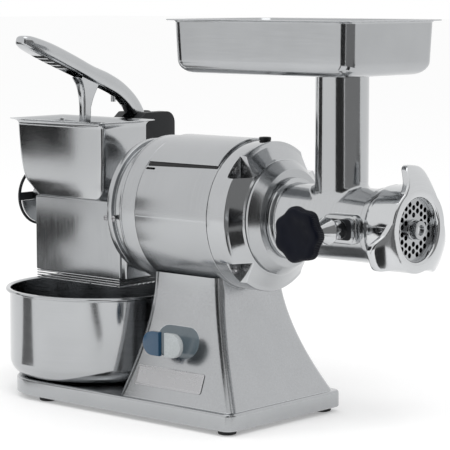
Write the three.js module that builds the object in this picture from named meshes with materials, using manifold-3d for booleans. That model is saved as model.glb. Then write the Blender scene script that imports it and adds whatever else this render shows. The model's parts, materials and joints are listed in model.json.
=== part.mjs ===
// Electric meat grinder with a cheese grater on the other end of the same motor.
// Millimetres. +X runs along the motor axis towards the mincing head, +Y is the back, +Z is up.
// Every piece is first laid out from the motor's front seam, with the worktop at z = 0.
// The whole model is then centred over its own footprint.
import * as THREE from "three";
import { mergeVertices } from "three/addons/utils/BufferGeometryUtils.js";
import Module from "manifold-3d";

const wasm = await Module();
wasm.setup();

// ---- General ----
const axisHeight = 241; // worktop to the motor axis
const seat = 0.3; // gap left between pieces that seat on each other
const bigSides = 24; // facets round a large turned piece
const midSides = 16; // facets round a medium turned piece
const smallSides = 8; // facets round a small turned piece
const pinSides = 16; // facets round a pin, and round the bore that turns on it

// ---- Stand ----
const footLift = 6; // slab underside above the worktop
const footRadius = 11;
const footEndInset = 74; // rear feet, in from the slab's grater end
const footNoseInset = 18; // front feet, in from the slab's mincing end
const footSideInset = 17; // feet, in from the slab's sides
const slabBehind = 336; // slab, from the motor's front seam towards the grater
const slabAhead = 49; // slab, from the motor's front seam towards the head
const slabHalfWidth = 103;
const slabThickness = 20;
const slabTailRadius = 60; // plan corners at the grater end
const slabNoseRadius = 12; // plan corners at the mincing end
const slabEdgeRadius = 3; // rounding of the top edge
const slabWall = 5;
const slabRoof = 4;
const coverThickness = 1.5; // sheet that closes the underside
const pedestalDrop = 70; // motor axis to the pedestal's top edge
const pedestalTopBehind = 112;
const pedestalTopAhead = -7;
const pedestalTopHalf = 59;
const pedestalFootBehind = 135;
const pedestalFootAhead = 44;
const pedestalFootHalf = 96;
const pedestalCorner = 13;
const pedestalWall = 5;
const pedestalRoof = 7; // metal left under the saddle
const flarePower = 1.7; // how late the column spreads on its way down
const labelWidth = 104;
const labelTop = 63; // above the worktop
const labelBottom = 41;
const labelThickness = 0.8;
const capacitorRadius = 20;
const capacitorLength = 78;
const glandRadius = 7.5;
const glandBore = 3.6;
const glandReach = 14; // beyond the slab's back edge

// ---- Switch ----
const switchX = -58.5;
const switchHeight = 94; // above the worktop
const collarLength = 80;
const collarTall = 41;
const collarProud = 3; // in front of the pedestal at the collar's lower edge
const bootLength = 58;
const bootTall = 31;
const bootProud = 27; // in front of the pedestal at mid height
const bootDepth = 52;
const buttonRim = 3; // boot wall round a button
const buttonSlack = 0.4;
const buttonTravel = 3;
const buttonLength = 6.5;
const buttonProud = 1.5;
const dividerWidth = 6;

// ---- Motor ----
const motorRadius = 87;
const motorLength = 112;
const motorWall = 4;
const seamGroove = 1; // width and depth of the jacket's side seam
const jacketThickness = 2; // raised top cover
const jacketHalfAngle = 55; // degrees each side of straight up
const rearCapLength = 34;
const rearCapNose = 77; // radius at the cap's grater end
const capRim = 6; // thickness of a cap's rim inside the casing
const capReach = 8; // how far a cap's rim goes into the casing
const shaftRadius = 8.5;
const bearingRadius = 20;
const bearingWidth = 12;
const bearingWall = 7; // boss wall round a bearing
const stackLength = 70; // stator and rotor laminations
const stackRear = -97; // grater end of the laminations
const rotorRadius = 42;
const rotorBore = 12;
const airGap = 0.8;
const statorSlots = 8;
const slotWidth = 6;
const slotDepth = 22;
const windingLength = 9;
const windingInner = 48;
const windingOuter = 72;
const plateThickness = 6; // bearing plate between the motor and the gears

// ---- Gears ----
const gearModule = 2;
const motorTeeth = 10;
const layLargeTeeth = 29;
const laySmallTeeth = 11;
const outputTeeth = 28;
const backlash = 0.22;
const pinionTip = 0.95; // tooth height over the pitch circle, in modules
const wheelTip = 0.65;
const firstGearWidth = 8;
const secondGearWidth = 12;
const gearSide = 1; // running gap beside a gear
const layshaftRadius = 6;
const pinionBore = 5;
const housingLength = 40;
const housingFlange = 27; // full-width rim in front of the motor
const housingHubRadius = 67.4;
const housingPocket = 18; // floor of the four corner pockets, from the motor's front seam
const housingNotch = 48.5; // half width of the square that the four corner pockets leave
const chamberWide = 74;
const chamberNarrow = 55;
const housingFace = 10; // front wall of the gear chamber
const plugRadius = 7;
const outputRadius = 12;
const outputBearing = 22;
const outputBearingWidth = 10;
const tangSide = 14; // square end that drives the auger
const tangLength = 15;

// ---- Mincing head ----
const hubLength = 14;
const hubRearRadius = 66;
const hubFrontRadius = 56.5;
const socketRadius = 36; // tail of the barrel
const socketDepth = 10;
const barrelRadius = 41.5;
const barrelFlangeRadius = 47;
const barrelFlangeLength = 6;
const barrelBore = 35;
const barrelTailWall = 9;
const barrelEnd = 222; // mouth of the barrel
const barrelCollar = 8; // length of the collar that the nut stops at
const collarRadius = 43.5;
const threadRadius = 43;
const neckX = 126;
const neckOuter = 30;
const neckWall = 4;
const neckRise = 165.5; // above the motor axis
const bossLength = 46;
const bossTall = 32;
const bossReach = 52; // out from the motor axis
const bossX = 163;
const ferruleRadius = 11;
const ferruleNose = 9;
const ferruleLength = 59.8;
const ferruleSpigot = 8;
const studRadius = 4.5;
const knobRadius = 31;
const knobLobes = 7;
const knobThickness = 15.4;
const knobWaist = 28.5;
const augerRoot = 14;
const augerClearance = 0.6;
const augerPitch = 40;
const flightThickness = 4;
const flightTip = 2.4;
const knifeThickness = 6;
const knifeReach = 33;
const knifeHub = 13;
const knifeSquare = 12;
const plateDepth = 8;
const plateHole = 5.4; // diameter of a hole in the grinding plate
const plateBore = 6;
const plateHub = 11.5;
const plateHubReach = 10;
const nutOverlap = 30; // how far the nut reaches back over the barrel's thread
const nutRadius = 48;
const nutLength = 42;
const nutLip = 8;
const nutMouth = 35;
const plateRadius = 38;
const holePitch = 8; // hexagonal grid of the plate's holes
const wingReach = 70;
const wingTipHalf = 11;
const wingRootHalf = 27;
const wingThickness = 9;
const wingSweep = 13; // how far a wing's tip leans back
const firstWing = 84; // degrees round from the back, through the top
const nutStart = barrelEnd - nutOverlap;
const collarStart = nutStart - barrelCollar;

// ---- Feed tray ----
const trayLength = 265;
const trayWidth = 173;
const trayDepth = 61.5;
const trayBehindNeck = 190; // rim, from the neck's axis towards the grater
const trayLip = 3.5;
const trayDraft = 2.5; // how much the sides lean in on the way down
const trayRimCorner = 3;
const trayCorner = 16;
const trayFloorRadius = 15;
const traySheet = 1.5;
const traySpigot = 22;

// ---- Grater ----
const adapterLength = 25;
const adapterRadius = 77;
const discRadius = 82;
const discThickness = 8;
const noseRadius = 73; // step between the disc and the chute
const noseLength = 8;
const chuteLeft = -327; // grater end of the chute
const chuteHalf = 40;
const chuteWall = 4;
const chuteTop = 4.7; // above the motor axis
const chuteDrop = 88; // below the motor axis
const quillRadius = 24; // tube round the drum shaft
const panelThickness = 1.8;
const panelShort = 9; // panel's end, short of the flange
const panelCorner = 2;
const outletWall = 3;
const outletDepth = 8;
const wireRadius = 1.4;
const guardWires = 6;
const guardTies = 3;
const hopperTopLeft = -367;
const hopperTopRight = -215;
const hopperFront = -37;
const hopperBack = 45;
const hopperRise = 100; // rim above the motor axis
const hopperLip = 7;
const hopperWall = 3;
const hopperFootLeft = -332;
const hopperFootRight = -219;
const hopperCorner = 7;
const hopperRimCorner = 3;
const drumRadius = 27.5;
const drumTooth = 1.6;
const drumStart = -320;
const drumLength = 98;
const drumRows = 8;
const drumRings = 4;
const drumBore = 10;
const endHubRadius = 16.5;
const endHubReach = 34; // beyond the chute's end
const endPlateRadius = 35;
const endPlateThickness = 5;
const handleRadius = 38;
const handleRim = 3;
const handleThickness = 3.5;
const handleBar = 10;

// ---- Lever ----
const leverX = -289;
const pinBack = 96; // hinge pin behind the motor axis
const pinRise = 84; // hinge pin above the motor axis
const pinRadius = 5;
const eyeRadius = 14;
const armWidth = 20;
const gripWidth = 32;
const leverWall = 3.5;
const leverRibs = 3;
const stemWidth = 8;
const stemDepth = 11;
const stemBack = 8; // stem's centre behind the motor axis
const presserTop = 62; // above the motor axis
const presserThickness = 6;
const presserLength = 124;
const presserFront = -27;
const presserBack = 22;
const stemTop = 160; // above the motor axis, inside the arm
const pegTop = 143;
const pegBottom = 119;
const pegBack = 58; // stop peg behind the motor axis
const pegRadius = 3;
const pinInset = 3; // pin's ends, in from the block's sides
const slotSlack = 0.8; // beside the arm in the block's slot
const blockHalf = 25;
const blockBack = 147;
const blockTop = 104.5;
const blockBottom = 48;
const blockCorner = 12;

// ---- Bowl ----
const bowlX = -256;
const bowlRadius = 113;
const bowlRim = 118;
const bowlHeight = 108;
const bowlSheet = 1.2;
const bowlCorner = 20;

// ------------------------------------------------------------------ solids

// Turns a closed three.js geometry into a solid with its faces pointing out.
function solid(geometry) {
  const plain = geometry.index ? geometry.toNonIndexed() : geometry.clone();
  plain.deleteAttribute("normal");
  plain.deleteAttribute("uv");
  const merged = mergeVertices(plain, 1e-4);
  const points = merged.getAttribute("position").array;
  const corners = merged.index.array;
  const faces = [];
  let volume = 0;
  const a = new THREE.Vector3();
  const b = new THREE.Vector3();
  const c = new THREE.Vector3();
  for (let i = 0; i < corners.length; i += 3) {
    const [p, q, r] = [corners[i], corners[i + 1], corners[i + 2]];
    if (p === q || q === r || r === p) continue;
    a.fromArray(points, 3 * p);
    b.fromArray(points, 3 * q);
    c.fromArray(points, 3 * r);
    volume += a.dot(b.cross(c));
    faces.push(p, q, r);
  }
  if (volume < 0) faces.reverse();
  const mesh = new wasm.Mesh({
    numProp: 3,
    vertProperties: new Float32Array(points),
    triVerts: new Uint32Array(faces),
  });
  return new wasm.Manifold(mesh);
}

function join(first, ...others) {
  return others.reduce((sum, next) => sum.add(next), first);
}

function cut(first, ...others) {
  return others.reduce((rest, next) => rest.subtract(next), first);
}

function geometryOf(body) {
  const mesh = body.getMesh();
  const geometry = new THREE.BufferGeometry();
  geometry.setAttribute("position", new THREE.BufferAttribute(new Float32Array(mesh.vertProperties), 3));
  geometry.setIndex(new THREE.BufferAttribute(new Uint32Array(mesh.triVerts), 1));
  geometry.computeVertexNormals();
  return geometry;
}

const turnTo = {
  x: (geometry) => geometry.rotateZ(-Math.PI / 2),
  y: (geometry) => geometry,
  z: (geometry) => geometry.rotateX(Math.PI / 2),
};

// A turned piece. The profile lists [along, radius]; it ends on the axis or closes on itself.
function turned(axis, profile, sides, at = [0, 0, 0]) {
  const points = profile.map(([along, radius]) => new THREE.Vector2(radius, along));
  const open = points[0].x === 0 && points[points.length - 1].x === 0;
  if (!open) points.push(points[0].clone());
  return solid(turnTo[axis](new THREE.LatheGeometry(points, sides)).translate(...at));
}

function rod(axis, from, to, radius, sides, at = [0, 0, 0]) {
  return turned(axis, [[from, 0], [from, radius], [to, radius], [to, 0]], sides, at);
}

function ring(axis, from, to, outer, inner, sides, at = [0, 0, 0]) {
  return turned(axis, [[from, inner], [from, outer], [to, outer], [to, inner]], sides, at);
}

function box([x0, x1], [y0, y1], [z0, z1]) {
  const geometry = new THREE.BoxGeometry(x1 - x0, y1 - y0, z1 - z0);
  return solid(geometry.translate((x0 + x1) / 2, (y0 + y1) / 2, (z0 + z1) / 2));
}

// Pushes a flat outline through a depth. Along z the outline lies in (x, y), along x in (y, z),
// and along y in (x, z).
function extruded(axis, shape, from, to, curveSegments = 8) {
  const geometry = new THREE.ExtrudeGeometry(shape, { depth: to - from, bevelEnabled: false, curveSegments });
  if (axis === "z") geometry.translate(0, 0, from);
  if (axis === "x") {
    const lay = new THREE.Matrix4().makeBasis(
      new THREE.Vector3(0, 1, 0), new THREE.Vector3(0, 0, 1), new THREE.Vector3(1, 0, 0));
    geometry.applyMatrix4(lay).translate(from, 0, 0);
  }
  if (axis === "y") {
    const lay = new THREE.Matrix4().makeBasis(
      new THREE.Vector3(1, 0, 0), new THREE.Vector3(0, 0, 1), new THREE.Vector3(0, -1, 0));
    geometry.applyMatrix4(lay).translate(0, to, 0);
  }
  return solid(geometry);
}

// Skins a row of convex loops that have the same number of points, and caps both ends.
function loft(loops) {
  const count = loops[0].length;
  const points = loops.flat();
  const faces = [];
  for (let i = 0; i + 1 < loops.length; i += 1) {
    for (let j = 0; j < count; j += 1) {
      const k = (j + 1) % count;
      const [p, q] = [i * count + j, i * count + k];
      faces.push(p, q, q + count, p, q + count, p + count);
    }
  }
  const lastLoop = (loops.length - 1) * count;
  for (let j = 1; j + 1 < count; j += 1) {
    faces.push(0, j + 1, j, lastLoop, lastLoop + j, lastLoop + j + 1);
  }
  const geometry = new THREE.BufferGeometry().setFromPoints(points);
  geometry.setIndex(faces);
  return solid(geometry);
}

// Points round a rectangle with rounded corners, anticlockwise from its right front corner.
// radii: [right front, right back, left back, left front]
function roundedLoop([x0, x1], [y0, y1], radii, steps) {
  const centres = [
    [x1 - radii[0], y0 + radii[0], -90],
    [x1 - radii[1], y1 - radii[1], 0],
    [x0 + radii[2], y1 - radii[2], 90],
    [x0 + radii[3], y0 + radii[3], 180],
  ];
  return centres.flatMap(([cx, cy, start], corner) =>
    Array.from({ length: steps + 1 }, (_, i) => {
      const angle = THREE.MathUtils.degToRad(start + (90 * i) / steps);
      return [cx + radii[corner] * Math.cos(angle), cy + radii[corner] * Math.sin(angle)];
    }));
}

function lift(loop, z) {
  return loop.map(([x, y]) => new THREE.Vector3(x, y, z));
}

// A stadium: a rectangle whose two short ends are half circles.
function stadium(length, tall, cx, cy) {
  const radius = tall / 2;
  const run = length / 2 - radius;
  const shape = new THREE.Shape();
  shape.absarc(cx + run, cy, radius, -Math.PI / 2, Math.PI / 2, false);
  shape.absarc(cx - run, cy, radius, Math.PI / 2, (3 * Math.PI) / 2, false);
  shape.closePath();
  return shape;
}

// ------------------------------------------------------------------ materials

function finish(color, roughness, metalness) {
  return new THREE.MeshStandardMaterial({ color, roughness, metalness });
}

const castAluminium = finish(0xb4b6b8, 0.32, 1);
const polishedAluminium = finish(0xc4c6c8, 0.2, 1);
const brushedSteel = finish(0xb9bbbd, 0.28, 1);
const brightSteel = finish(0xd0d2d4, 0.15, 1);
const blackPlastic = finish(0x15161a, 0.5, 0);
const blackRubber = finish(0x101112, 0.8, 0);
const greyPlastic = finish(0x8f979c, 0.4, 0);
const bluePlastic = finish(0x2e4a66, 0.35, 0);
const palePlastic = finish(0xc3c6c4, 0.4, 0);
const darkSteel = finish(0x55585c, 0.45, 1);
const copper = finish(0xb5693a, 0.4, 1);
const gearSteel = finish(0x8a8d90, 0.35, 1);
const brass = finish(0xb08d4a, 0.35, 1);

const model = new THREE.Group();

function addPiece(group, name, body, material) {
  const mesh = new THREE.Mesh(geometryOf(body), material);
  mesh.name = name;
  group.add(mesh);
}

// ------------------------------------------------------------------ stand

const slabTop = footLift + slabThickness;
const pedestalTop = axisHeight - pedestalDrop;

function slabLoop(inset) {
  const tail = slabTailRadius - inset;
  const nose = slabNoseRadius - inset;
  return roundedLoop(
    [-slabBehind + inset, slabAhead - inset], [-slabHalfWidth + inset, slabHalfWidth - inset],
    [nose, nose, tail, tail], 4);
}

// How far the pedestal has spread at a height: 0 at its top, 1 at the slab.
function flareAt(z) {
  return Math.pow((pedestalTop - z) / (pedestalTop - slabTop), flarePower);
}

function pedestalHalfAt(z) {
  return THREE.MathUtils.lerp(pedestalTopHalf, pedestalFootHalf, flareAt(z));
}

function pedestalLoft(grow, from, to, levels) {
  const loops = [];
  for (let i = 0; i <= levels; i += 1) {
    const z = THREE.MathUtils.lerp(to, from, Math.pow(i / levels, 0.8));
    const spread = flareAt(Math.min(Math.max(z, slabTop), pedestalTop));
    const left = THREE.MathUtils.lerp(pedestalTopBehind, pedestalFootBehind, spread);
    const right = THREE.MathUtils.lerp(pedestalTopAhead, pedestalFootAhead, spread);
    const half = THREE.MathUtils.lerp(pedestalTopHalf, pedestalFootHalf, spread) + grow;
    const corner = pedestalCorner + grow;
    loops.push(lift(roundedLoop(
      [-left - grow, right + grow], [-half, half], [corner, corner, corner, corner], 2), z));
  }
  return loft(loops.reverse());
}

const switchFace = pedestalHalfAt(switchHeight);

function baseCasting() {
  const edge = slabEdgeRadius;
  const slab = loft([
    lift(slabLoop(0), footLift),
    lift(slabLoop(0), slabTop - edge),
    lift(slabLoop(edge * 0.3), slabTop - edge * 0.3),
    lift(slabLoop(edge), slabTop),
  ]);
  const column = pedestalLoft(0, slabTop - slabRoof / 2, pedestalTop, 6);
  const slabHollow = loft([
    lift(slabLoop(slabWall), footLift - 1),
    lift(slabLoop(slabWall), slabTop - slabRoof),
  ]);
  const saddleFloor = axisHeight - motorRadius;
  const columnHollow = pedestalLoft(-pedestalWall, slabTop - slabRoof - 1, saddleFloor - pedestalRoof, 3);
  const saddle = rod("x", -slabBehind, slabAhead, motorRadius + seat, bigSides, [0, 0, axisHeight]);
  const opening = extruded("y",
    stadium(bootLength + 2 * seat, bootTall + 2 * seat, switchX, switchHeight),
    -slabHalfWidth, -switchFace / 2);
  const cableHole = rod("y", 0, 2 * slabHalfWidth, glandRadius - 1 + seat, smallSides, [glandX, 0, glandZ]);
  return cut(join(slab, column), slabHollow, columnHollow, saddle, opening, cableHole);
}

const glandX = -slabBehind / 2;
const glandZ = footLift + slabThickness / 2 - 1;

function bottomCover() {
  const inset = slabWall + seat;
  return loft([
    lift(slabLoop(inset), footLift),
    lift(slabLoop(inset), footLift + coverThickness),
  ]);
}

function foot() {
  return turned("z", [
    [0, 0], [0, footRadius - 2], [1, footRadius - 0.8], [2.5, footRadius],
    [footLift - seat, footRadius], [footLift - seat, 0],
  ], smallSides);
}

// A thin plate that follows the pedestal's flared front. It is left bare.
function labelPlate() {
  const x0 = switchX - labelWidth / 2;
  const rows = 5;
  const outline = [];
  for (let i = 0; i <= rows; i += 1) {
    const z = THREE.MathUtils.lerp(labelBottom, labelTop, i / rows);
    outline.push([-pedestalHalfAt(z) - seat, z]);
  }
  const front = outline.map(([y, z]) => [y - labelThickness, z]).reverse();
  const shape = new THREE.Shape([...outline, ...front].map(([y, z]) => new THREE.Vector2(y, z)));
  return extruded("x", shape, x0, x0 + labelWidth);
}

function cableGland() {
  const wall = slabHalfWidth;
  return turned("y", [
    [wall - slabWall - 6, glandBore], [wall - slabWall - 6, glandRadius - 1],
    [wall + seat, glandRadius - 1], [wall + seat, glandRadius],
    [wall + glandReach - 4, glandRadius], [wall + glandReach, glandRadius - 2.5],
    [wall + glandReach, glandBore],
  ], smallSides, [glandX, 0, glandZ]);
}

function runCapacitor() {
  const floor = footLift + coverThickness + seat;
  return turned("z", [
    [floor, 0], [floor, capacitorRadius], [floor + capacitorLength - 3, capacitorRadius],
    [floor + capacitorLength, capacitorRadius - 2], [floor + capacitorLength, 0],
  ], smallSides, [switchX - 20, capacitorRadius + 8, 0]);
}

// ------------------------------------------------------------------ switch

const bootFront = -switchFace - bootProud;

function switchCollar() {
  const front = -pedestalHalfAt(switchHeight - collarTall / 2) - collarProud;
  const shape = stadium(collarLength, collarTall, switchX, switchHeight);
  shape.holes.push(stadium(bootLength + 2 * seat, bootTall + 2 * seat, switchX, switchHeight));
  const block = extruded("y", shape, front, -pedestalTopHalf, 7);
  return cut(block, pedestalLoft(seat, slabTop, pedestalTop, 6));
}

// One half of the boot's face, between the divider and the round end.
function buttonShape(side, inset) {
  const radius = bootTall / 2 - inset;
  const run = bootLength / 2 - bootTall / 2;
  const edge = dividerWidth / 2 + inset - buttonRim;
  const shape = new THREE.Shape();
  if (side > 0) {
    shape.moveTo(switchX + edge, switchHeight - radius);
    shape.absarc(switchX + run, switchHeight, radius, -Math.PI / 2, Math.PI / 2, false);
    shape.lineTo(switchX + edge, switchHeight + radius);
  } else {
    shape.moveTo(switchX - edge, switchHeight + radius);
    shape.absarc(switchX - run, switchHeight, radius, Math.PI / 2, (3 * Math.PI) / 2, false);
    shape.lineTo(switchX - edge, switchHeight - radius);
  }
  shape.closePath();
  return shape;
}

function switchBody() {
  const depth = buttonLength - buttonProud + buttonTravel + seat;
  const block = extruded("y",
    stadium(bootLength, bootTall, switchX, switchHeight), bootFront, bootFront + bootDepth, 7);
  const pockets = [-1, 1].map((side) =>
    extruded("y", buttonShape(side, buttonRim), bootFront - 1, bootFront + depth, 6));
  return cut(block, ...pockets);
}

function switchButton(side) {
  const front = bootFront - buttonProud;
  return extruded("y", buttonShape(side, buttonRim + buttonSlack), front, front + buttonLength, 6);
}

const stand = new THREE.Group();
model.add(stand);
addPiece(stand, "base_casting", baseCasting(), castAluminium);
addPiece(stand, "bottom_cover", bottomCover(), brushedSteel);
addPiece(stand, "label_plate", labelPlate(), brushedSteel);
addPiece(stand, "cable_gland", cableGland(), blackPlastic);
addPiece(stand, "run_capacitor", runCapacitor(), greyPlastic);
addPiece(stand, "switch_collar", switchCollar(), greyPlastic);
addPiece(stand, "switch_body", switchBody(), greyPlastic);
addPiece(stand, "stop_button", switchButton(-1), bluePlastic);
addPiece(stand, "start_button", switchButton(1), palePlastic);

for (const [end, x] of [["rear", -slabBehind + footEndInset], ["front", slabAhead - footNoseInset]]) {
  for (const [hand, side] of [["right", -1], ["left", 1]]) {
    const footGroup = new THREE.Group();
    footGroup.position.set(x, side * (slabHalfWidth - footSideInset), 0);
    stand.add(footGroup);
    addPiece(footGroup, `foot_${end}_${hand}`, foot(), blackRubber);
  }
}

// ------------------------------------------------------------------ motor
// The drive line group has its origin on the motor axis at the front seam.

const driveLine = new THREE.Group();
driveLine.position.z = axisHeight;
model.add(driveLine);

const casingBore = motorRadius - motorWall;
const capSpigot = casingBore - seat;
const capEnd = -motorLength - rearCapLength;
const bearingSeat = bearingRadius + seat;
const stackFront = stackRear + stackLength;

function motorCasing() {
  const tube = ring("x", -motorLength, -seat, motorRadius, casingBore, bigSides);
  const seams = [-1, 1].map((side) => box([-motorLength - 1, 1],
    side > 0 ? [motorRadius - seamGroove, motorRadius + 1] : [-motorRadius - 1, -motorRadius + seamGroove],
    [-2 - seamGroove / 2, -2 + seamGroove / 2]));
  return cut(tube, ...seams);
}

// A curved cover over the top of the casing.
function motorTopCover() {
  const inner = motorRadius + seat;
  const outer = inner + jacketThickness;
  const from = Math.PI / 2 - THREE.MathUtils.degToRad(jacketHalfAngle);
  const to = Math.PI / 2 + THREE.MathUtils.degToRad(jacketHalfAngle);
  const shape = new THREE.Shape();
  shape.absarc(0, 0, outer, from, to, false);
  shape.absarc(0, 0, inner, to, from, true);
  shape.closePath();
  return extruded("x", shape, -motorLength + 3, -1.5, 14);
}

function rearEndCap() {
  const face = -motorLength - seat;
  const innerRim = capSpigot - capRim;
  const recess = capEnd + 8;
  const pocket = recess - 1;
  const bossOuter = bearingRadius + bearingWall;
  const bossEnd = pocket + bearingWidth + 3;
  return turned("x", [
    [-motorLength + capReach, innerRim], [-motorLength + capReach, capSpigot], [face, capSpigot],
    [face, motorRadius], [face - rearCapLength * 0.5, motorRadius],
    [face - rearCapLength * 0.8, motorRadius - 3.4], [capEnd, rearCapNose],
    [capEnd, shaftRadius + 4], [pocket, shaftRadius + 4], [pocket, bearingSeat],
    [bossEnd, bearingSeat], [bossEnd, bossOuter], [recess, bossOuter], [recess, innerRim],
  ], bigSides);
}

function ballBearing(from, width, outer, inner) {
  return ring("x", from, from + width, outer, inner, midSides);
}

function statorCore() {
  const inner = rotorRadius + airGap;
  const core = ring("x", stackRear, stackFront, casingBore - seat, inner, bigSides);
  const slots = Array.from({ length: statorSlots }, (_, i) => {
    const geometry = new THREE.BoxGeometry(stackLength + 2, slotWidth, slotDepth + 4);
    geometry.translate((stackRear + stackFront) / 2, 0, inner + slotDepth / 2 - 2);
    return solid(geometry.rotateX((2 * Math.PI * (i + 0.5)) / statorSlots));
  });
  return cut(core, ...slots);
}

function statorWinding(from, to) {
  const bulge = (to - from) / 3;
  return turned("x", [
    [from, windingInner], [from, windingOuter], [to - bulge, windingOuter], [to, windingOuter - 5],
    [to, windingInner + 5], [to - bulge, windingInner],
  ], midSides);
}

const frontBearingStart = -plateThickness - bearingWidth + 1;

// Plate that closes the gear chamber and carries the motor's front bearing and the layshaft.
function bearingPlate() {
  const bossOuter = bearingRadius + bearingWall;
  const pocket = -plateThickness + 1 + seat;
  const disc = turned("x", [
    [-seat, shaftRadius + 4], [pocket, shaftRadius + 4], [pocket, bearingSeat],
    [frontBearingStart - 1, bearingSeat], [frontBearingStart - 1, bossOuter],
    [-plateThickness, bossOuter], [-plateThickness, capSpigot], [-seat, capSpigot],
  ], bigSides);
  const layHole = rod("x", -plateThickness + 1, 1, layshaftRadius + seat, smallSides,
    [0, 0, -centreDistance]);
  return cut(disc, layHole);
}

const centreDistance = (gearModule * (motorTeeth + layLargeTeeth)) / 2;
const firstGearStart = gearSide;
const firstGearEnd = firstGearStart + firstGearWidth;
const secondGearStart = firstGearEnd + gearSide + 3;
const secondGearEnd = secondGearStart + secondGearWidth;
const drumEnd = drumStart + drumLength;
const journalEnd = chuteLeft - endHubReach + 10;

// One shaft runs the whole length: grater drum, rotor and drive pinion.
function motorShaft() {
  return turned("x", [
    [journalEnd, 0], [journalEnd, shaftRadius],
    [drumStart - 2, shaftRadius], [drumStart - 2, drumBore], [drumEnd + 2, drumBore],
    [drumEnd + 2, shaftRadius], [capEnd + bearingWidth + 12, shaftRadius],
    [capEnd + bearingWidth + 12, rotorBore], [stackFront + 4, rotorBore], [stackFront + 4, shaftRadius],
    [-plateThickness + 3, shaftRadius], [-plateThickness + 3, pinionBore],
    [firstGearEnd, pinionBore], [firstGearEnd, 0],
  ], midSides);
}

// A spur gear with involute flanks. A tooth points along the given angle.
function spurGear(teeth, bore, from, to, tipHeight, toothAngle) {
  const pitch = (gearModule * teeth) / 2;
  const root = pitch - 1.25 * gearModule;
  const tip = pitch + tipHeight * gearModule;
  const base = pitch * Math.cos(THREE.MathUtils.degToRad(20));
  const involute = (radius) => {
    const pressure = Math.acos(Math.min(1, base / radius));
    return Math.tan(pressure) - pressure;
  };
  const halfAt = (radius) => Math.PI / (2 * teeth) - backlash / (2 * pitch)
    + involute(pitch) - involute(Math.max(radius, base));
  const radii = root < base - 1 ? [root, base, tip] : [root, tip];
  const outline = [];
  for (let i = 0; i < teeth; i += 1) {
    const centre = toothAngle + (2 * Math.PI * i) / teeth;
    for (const radius of radii) outline.push([radius, centre - halfAt(radius)]);
    for (const radius of [...radii].reverse()) outline.push([radius, centre + halfAt(radius)]);
  }
  const shape = new THREE.Shape(
    outline.map(([radius, angle]) => new THREE.Vector2(radius * Math.cos(angle), radius * Math.sin(angle))));
  const hole = new THREE.Path();
  hole.absarc(0, 0, bore, 0, 2 * Math.PI, true);
  shape.holes.push(hole);
  return extruded("x", shape, from, to, 8);
}

function rotorCore() {
  return ring("x", stackRear, stackFront, rotorRadius, rotorBore + seat, midSides);
}

addPiece(driveLine, "motor_casing", motorCasing(), polishedAluminium);
addPiece(driveLine, "motor_top_cover", motorTopCover(), polishedAluminium);
addPiece(driveLine, "rear_end_cap", rearEndCap(), polishedAluminium);
addPiece(driveLine, "stator_core", statorCore(), darkSteel);
addPiece(driveLine, "winding_rear", statorWinding(stackRear - windingLength, stackRear - seat), copper);
addPiece(driveLine, "winding_front", statorWinding(stackFront + seat, stackFront + windingLength), copper);
addPiece(driveLine, "rotor_core", rotorCore(), darkSteel);
addPiece(driveLine, "motor_shaft", motorShaft(), gearSteel);
addPiece(driveLine, "rear_bearing",
  ballBearing(capEnd + 7 + seat, bearingWidth, bearingRadius, shaftRadius + seat), brightSteel);
addPiece(driveLine, "front_bearing",
  ballBearing(frontBearingStart, bearingWidth, bearingRadius, shaftRadius + seat), brightSteel);
addPiece(driveLine, "bearing_plate", bearingPlate(), castAluminium);

// ------------------------------------------------------------------ gears

const quarterTurn = Math.PI / 2;
const layshaftFront = housingLength - housingFace + 5;

function gearHousing() {
  const body = turned("x", [
    [seat, 0], [seat, motorRadius], [housingFlange - 1.5, motorRadius], [housingFlange, motorRadius - 1.5],
    [housingFlange + 2, motorRadius - 5], [housingLength - 2, housingHubRadius + 1],
    [housingLength, housingHubRadius - 1], [housingLength, 0],
  ], bigSides);
  const corners = [[-1, -1], [-1, 1], [1, -1], [1, 1]].map(([sideY, sideZ]) => box(
    [housingPocket, housingLength + 1],
    sideY > 0 ? [housingNotch, motorRadius] : [-motorRadius, -housingNotch],
    sideZ > 0 ? [housingNotch, motorRadius] : [-motorRadius, -housingNotch]));
  const wide = rod("x", 0, firstGearEnd + gearSide, chamberWide, bigSides);
  const narrow = rod("x", 0, housingLength - housingFace, chamberNarrow, midSides);
  const bearingPocket = rod("x", 0, housingLength - 2, outputBearing + seat, midSides);
  const shaftHole = rod("x", 0, housingLength + 1, outputRadius + 2, midSides);
  const layHole = rod("x", 0, layshaftFront + seat, layshaftRadius + seat, smallSides,
    [0, 0, -centreDistance]);
  const plugHole = rod("z", chamberWide - 20, motorRadius + 2, plugRadius - 1 + seat, smallSides,
    [housingFlange / 2, 0, 0]);
  return cut(body, ...corners, wide, narrow, bearingPocket, shaftHole, layHole, plugHole);
}

function oilPlug() {
  const top = motorRadius + seat;
  return turned("z", [
    [chamberWide + 2, 0], [chamberWide + 2, plugRadius - 1], [top, plugRadius - 1], [top, plugRadius],
    [top + 3, plugRadius], [top + 4, plugRadius - 1.5], [top + 4, 0],
  ], smallSides, [housingFlange / 2, 0, 0]);
}

function layshaft() {
  return rod("x", -plateThickness + 1 + seat, layshaftFront, layshaftRadius, smallSides);
}

function outputShaft() {
  const half = tangSide / 2;
  const tangStart = outputEnd;
  const round = rod("x", secondGearStart - 2, outputEnd, outputRadius, midSides);
  return join(round, box([tangStart - 1, tangStart + tangLength], [-half, half], [-half, half]));
}

const hubEnd = housingLength + seat + hubLength;
const tailStart = hubEnd - socketDepth + seat;
const tailInside = tailStart + barrelTailWall + socketDepth;
const outputEnd = tailInside - 3;

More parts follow.
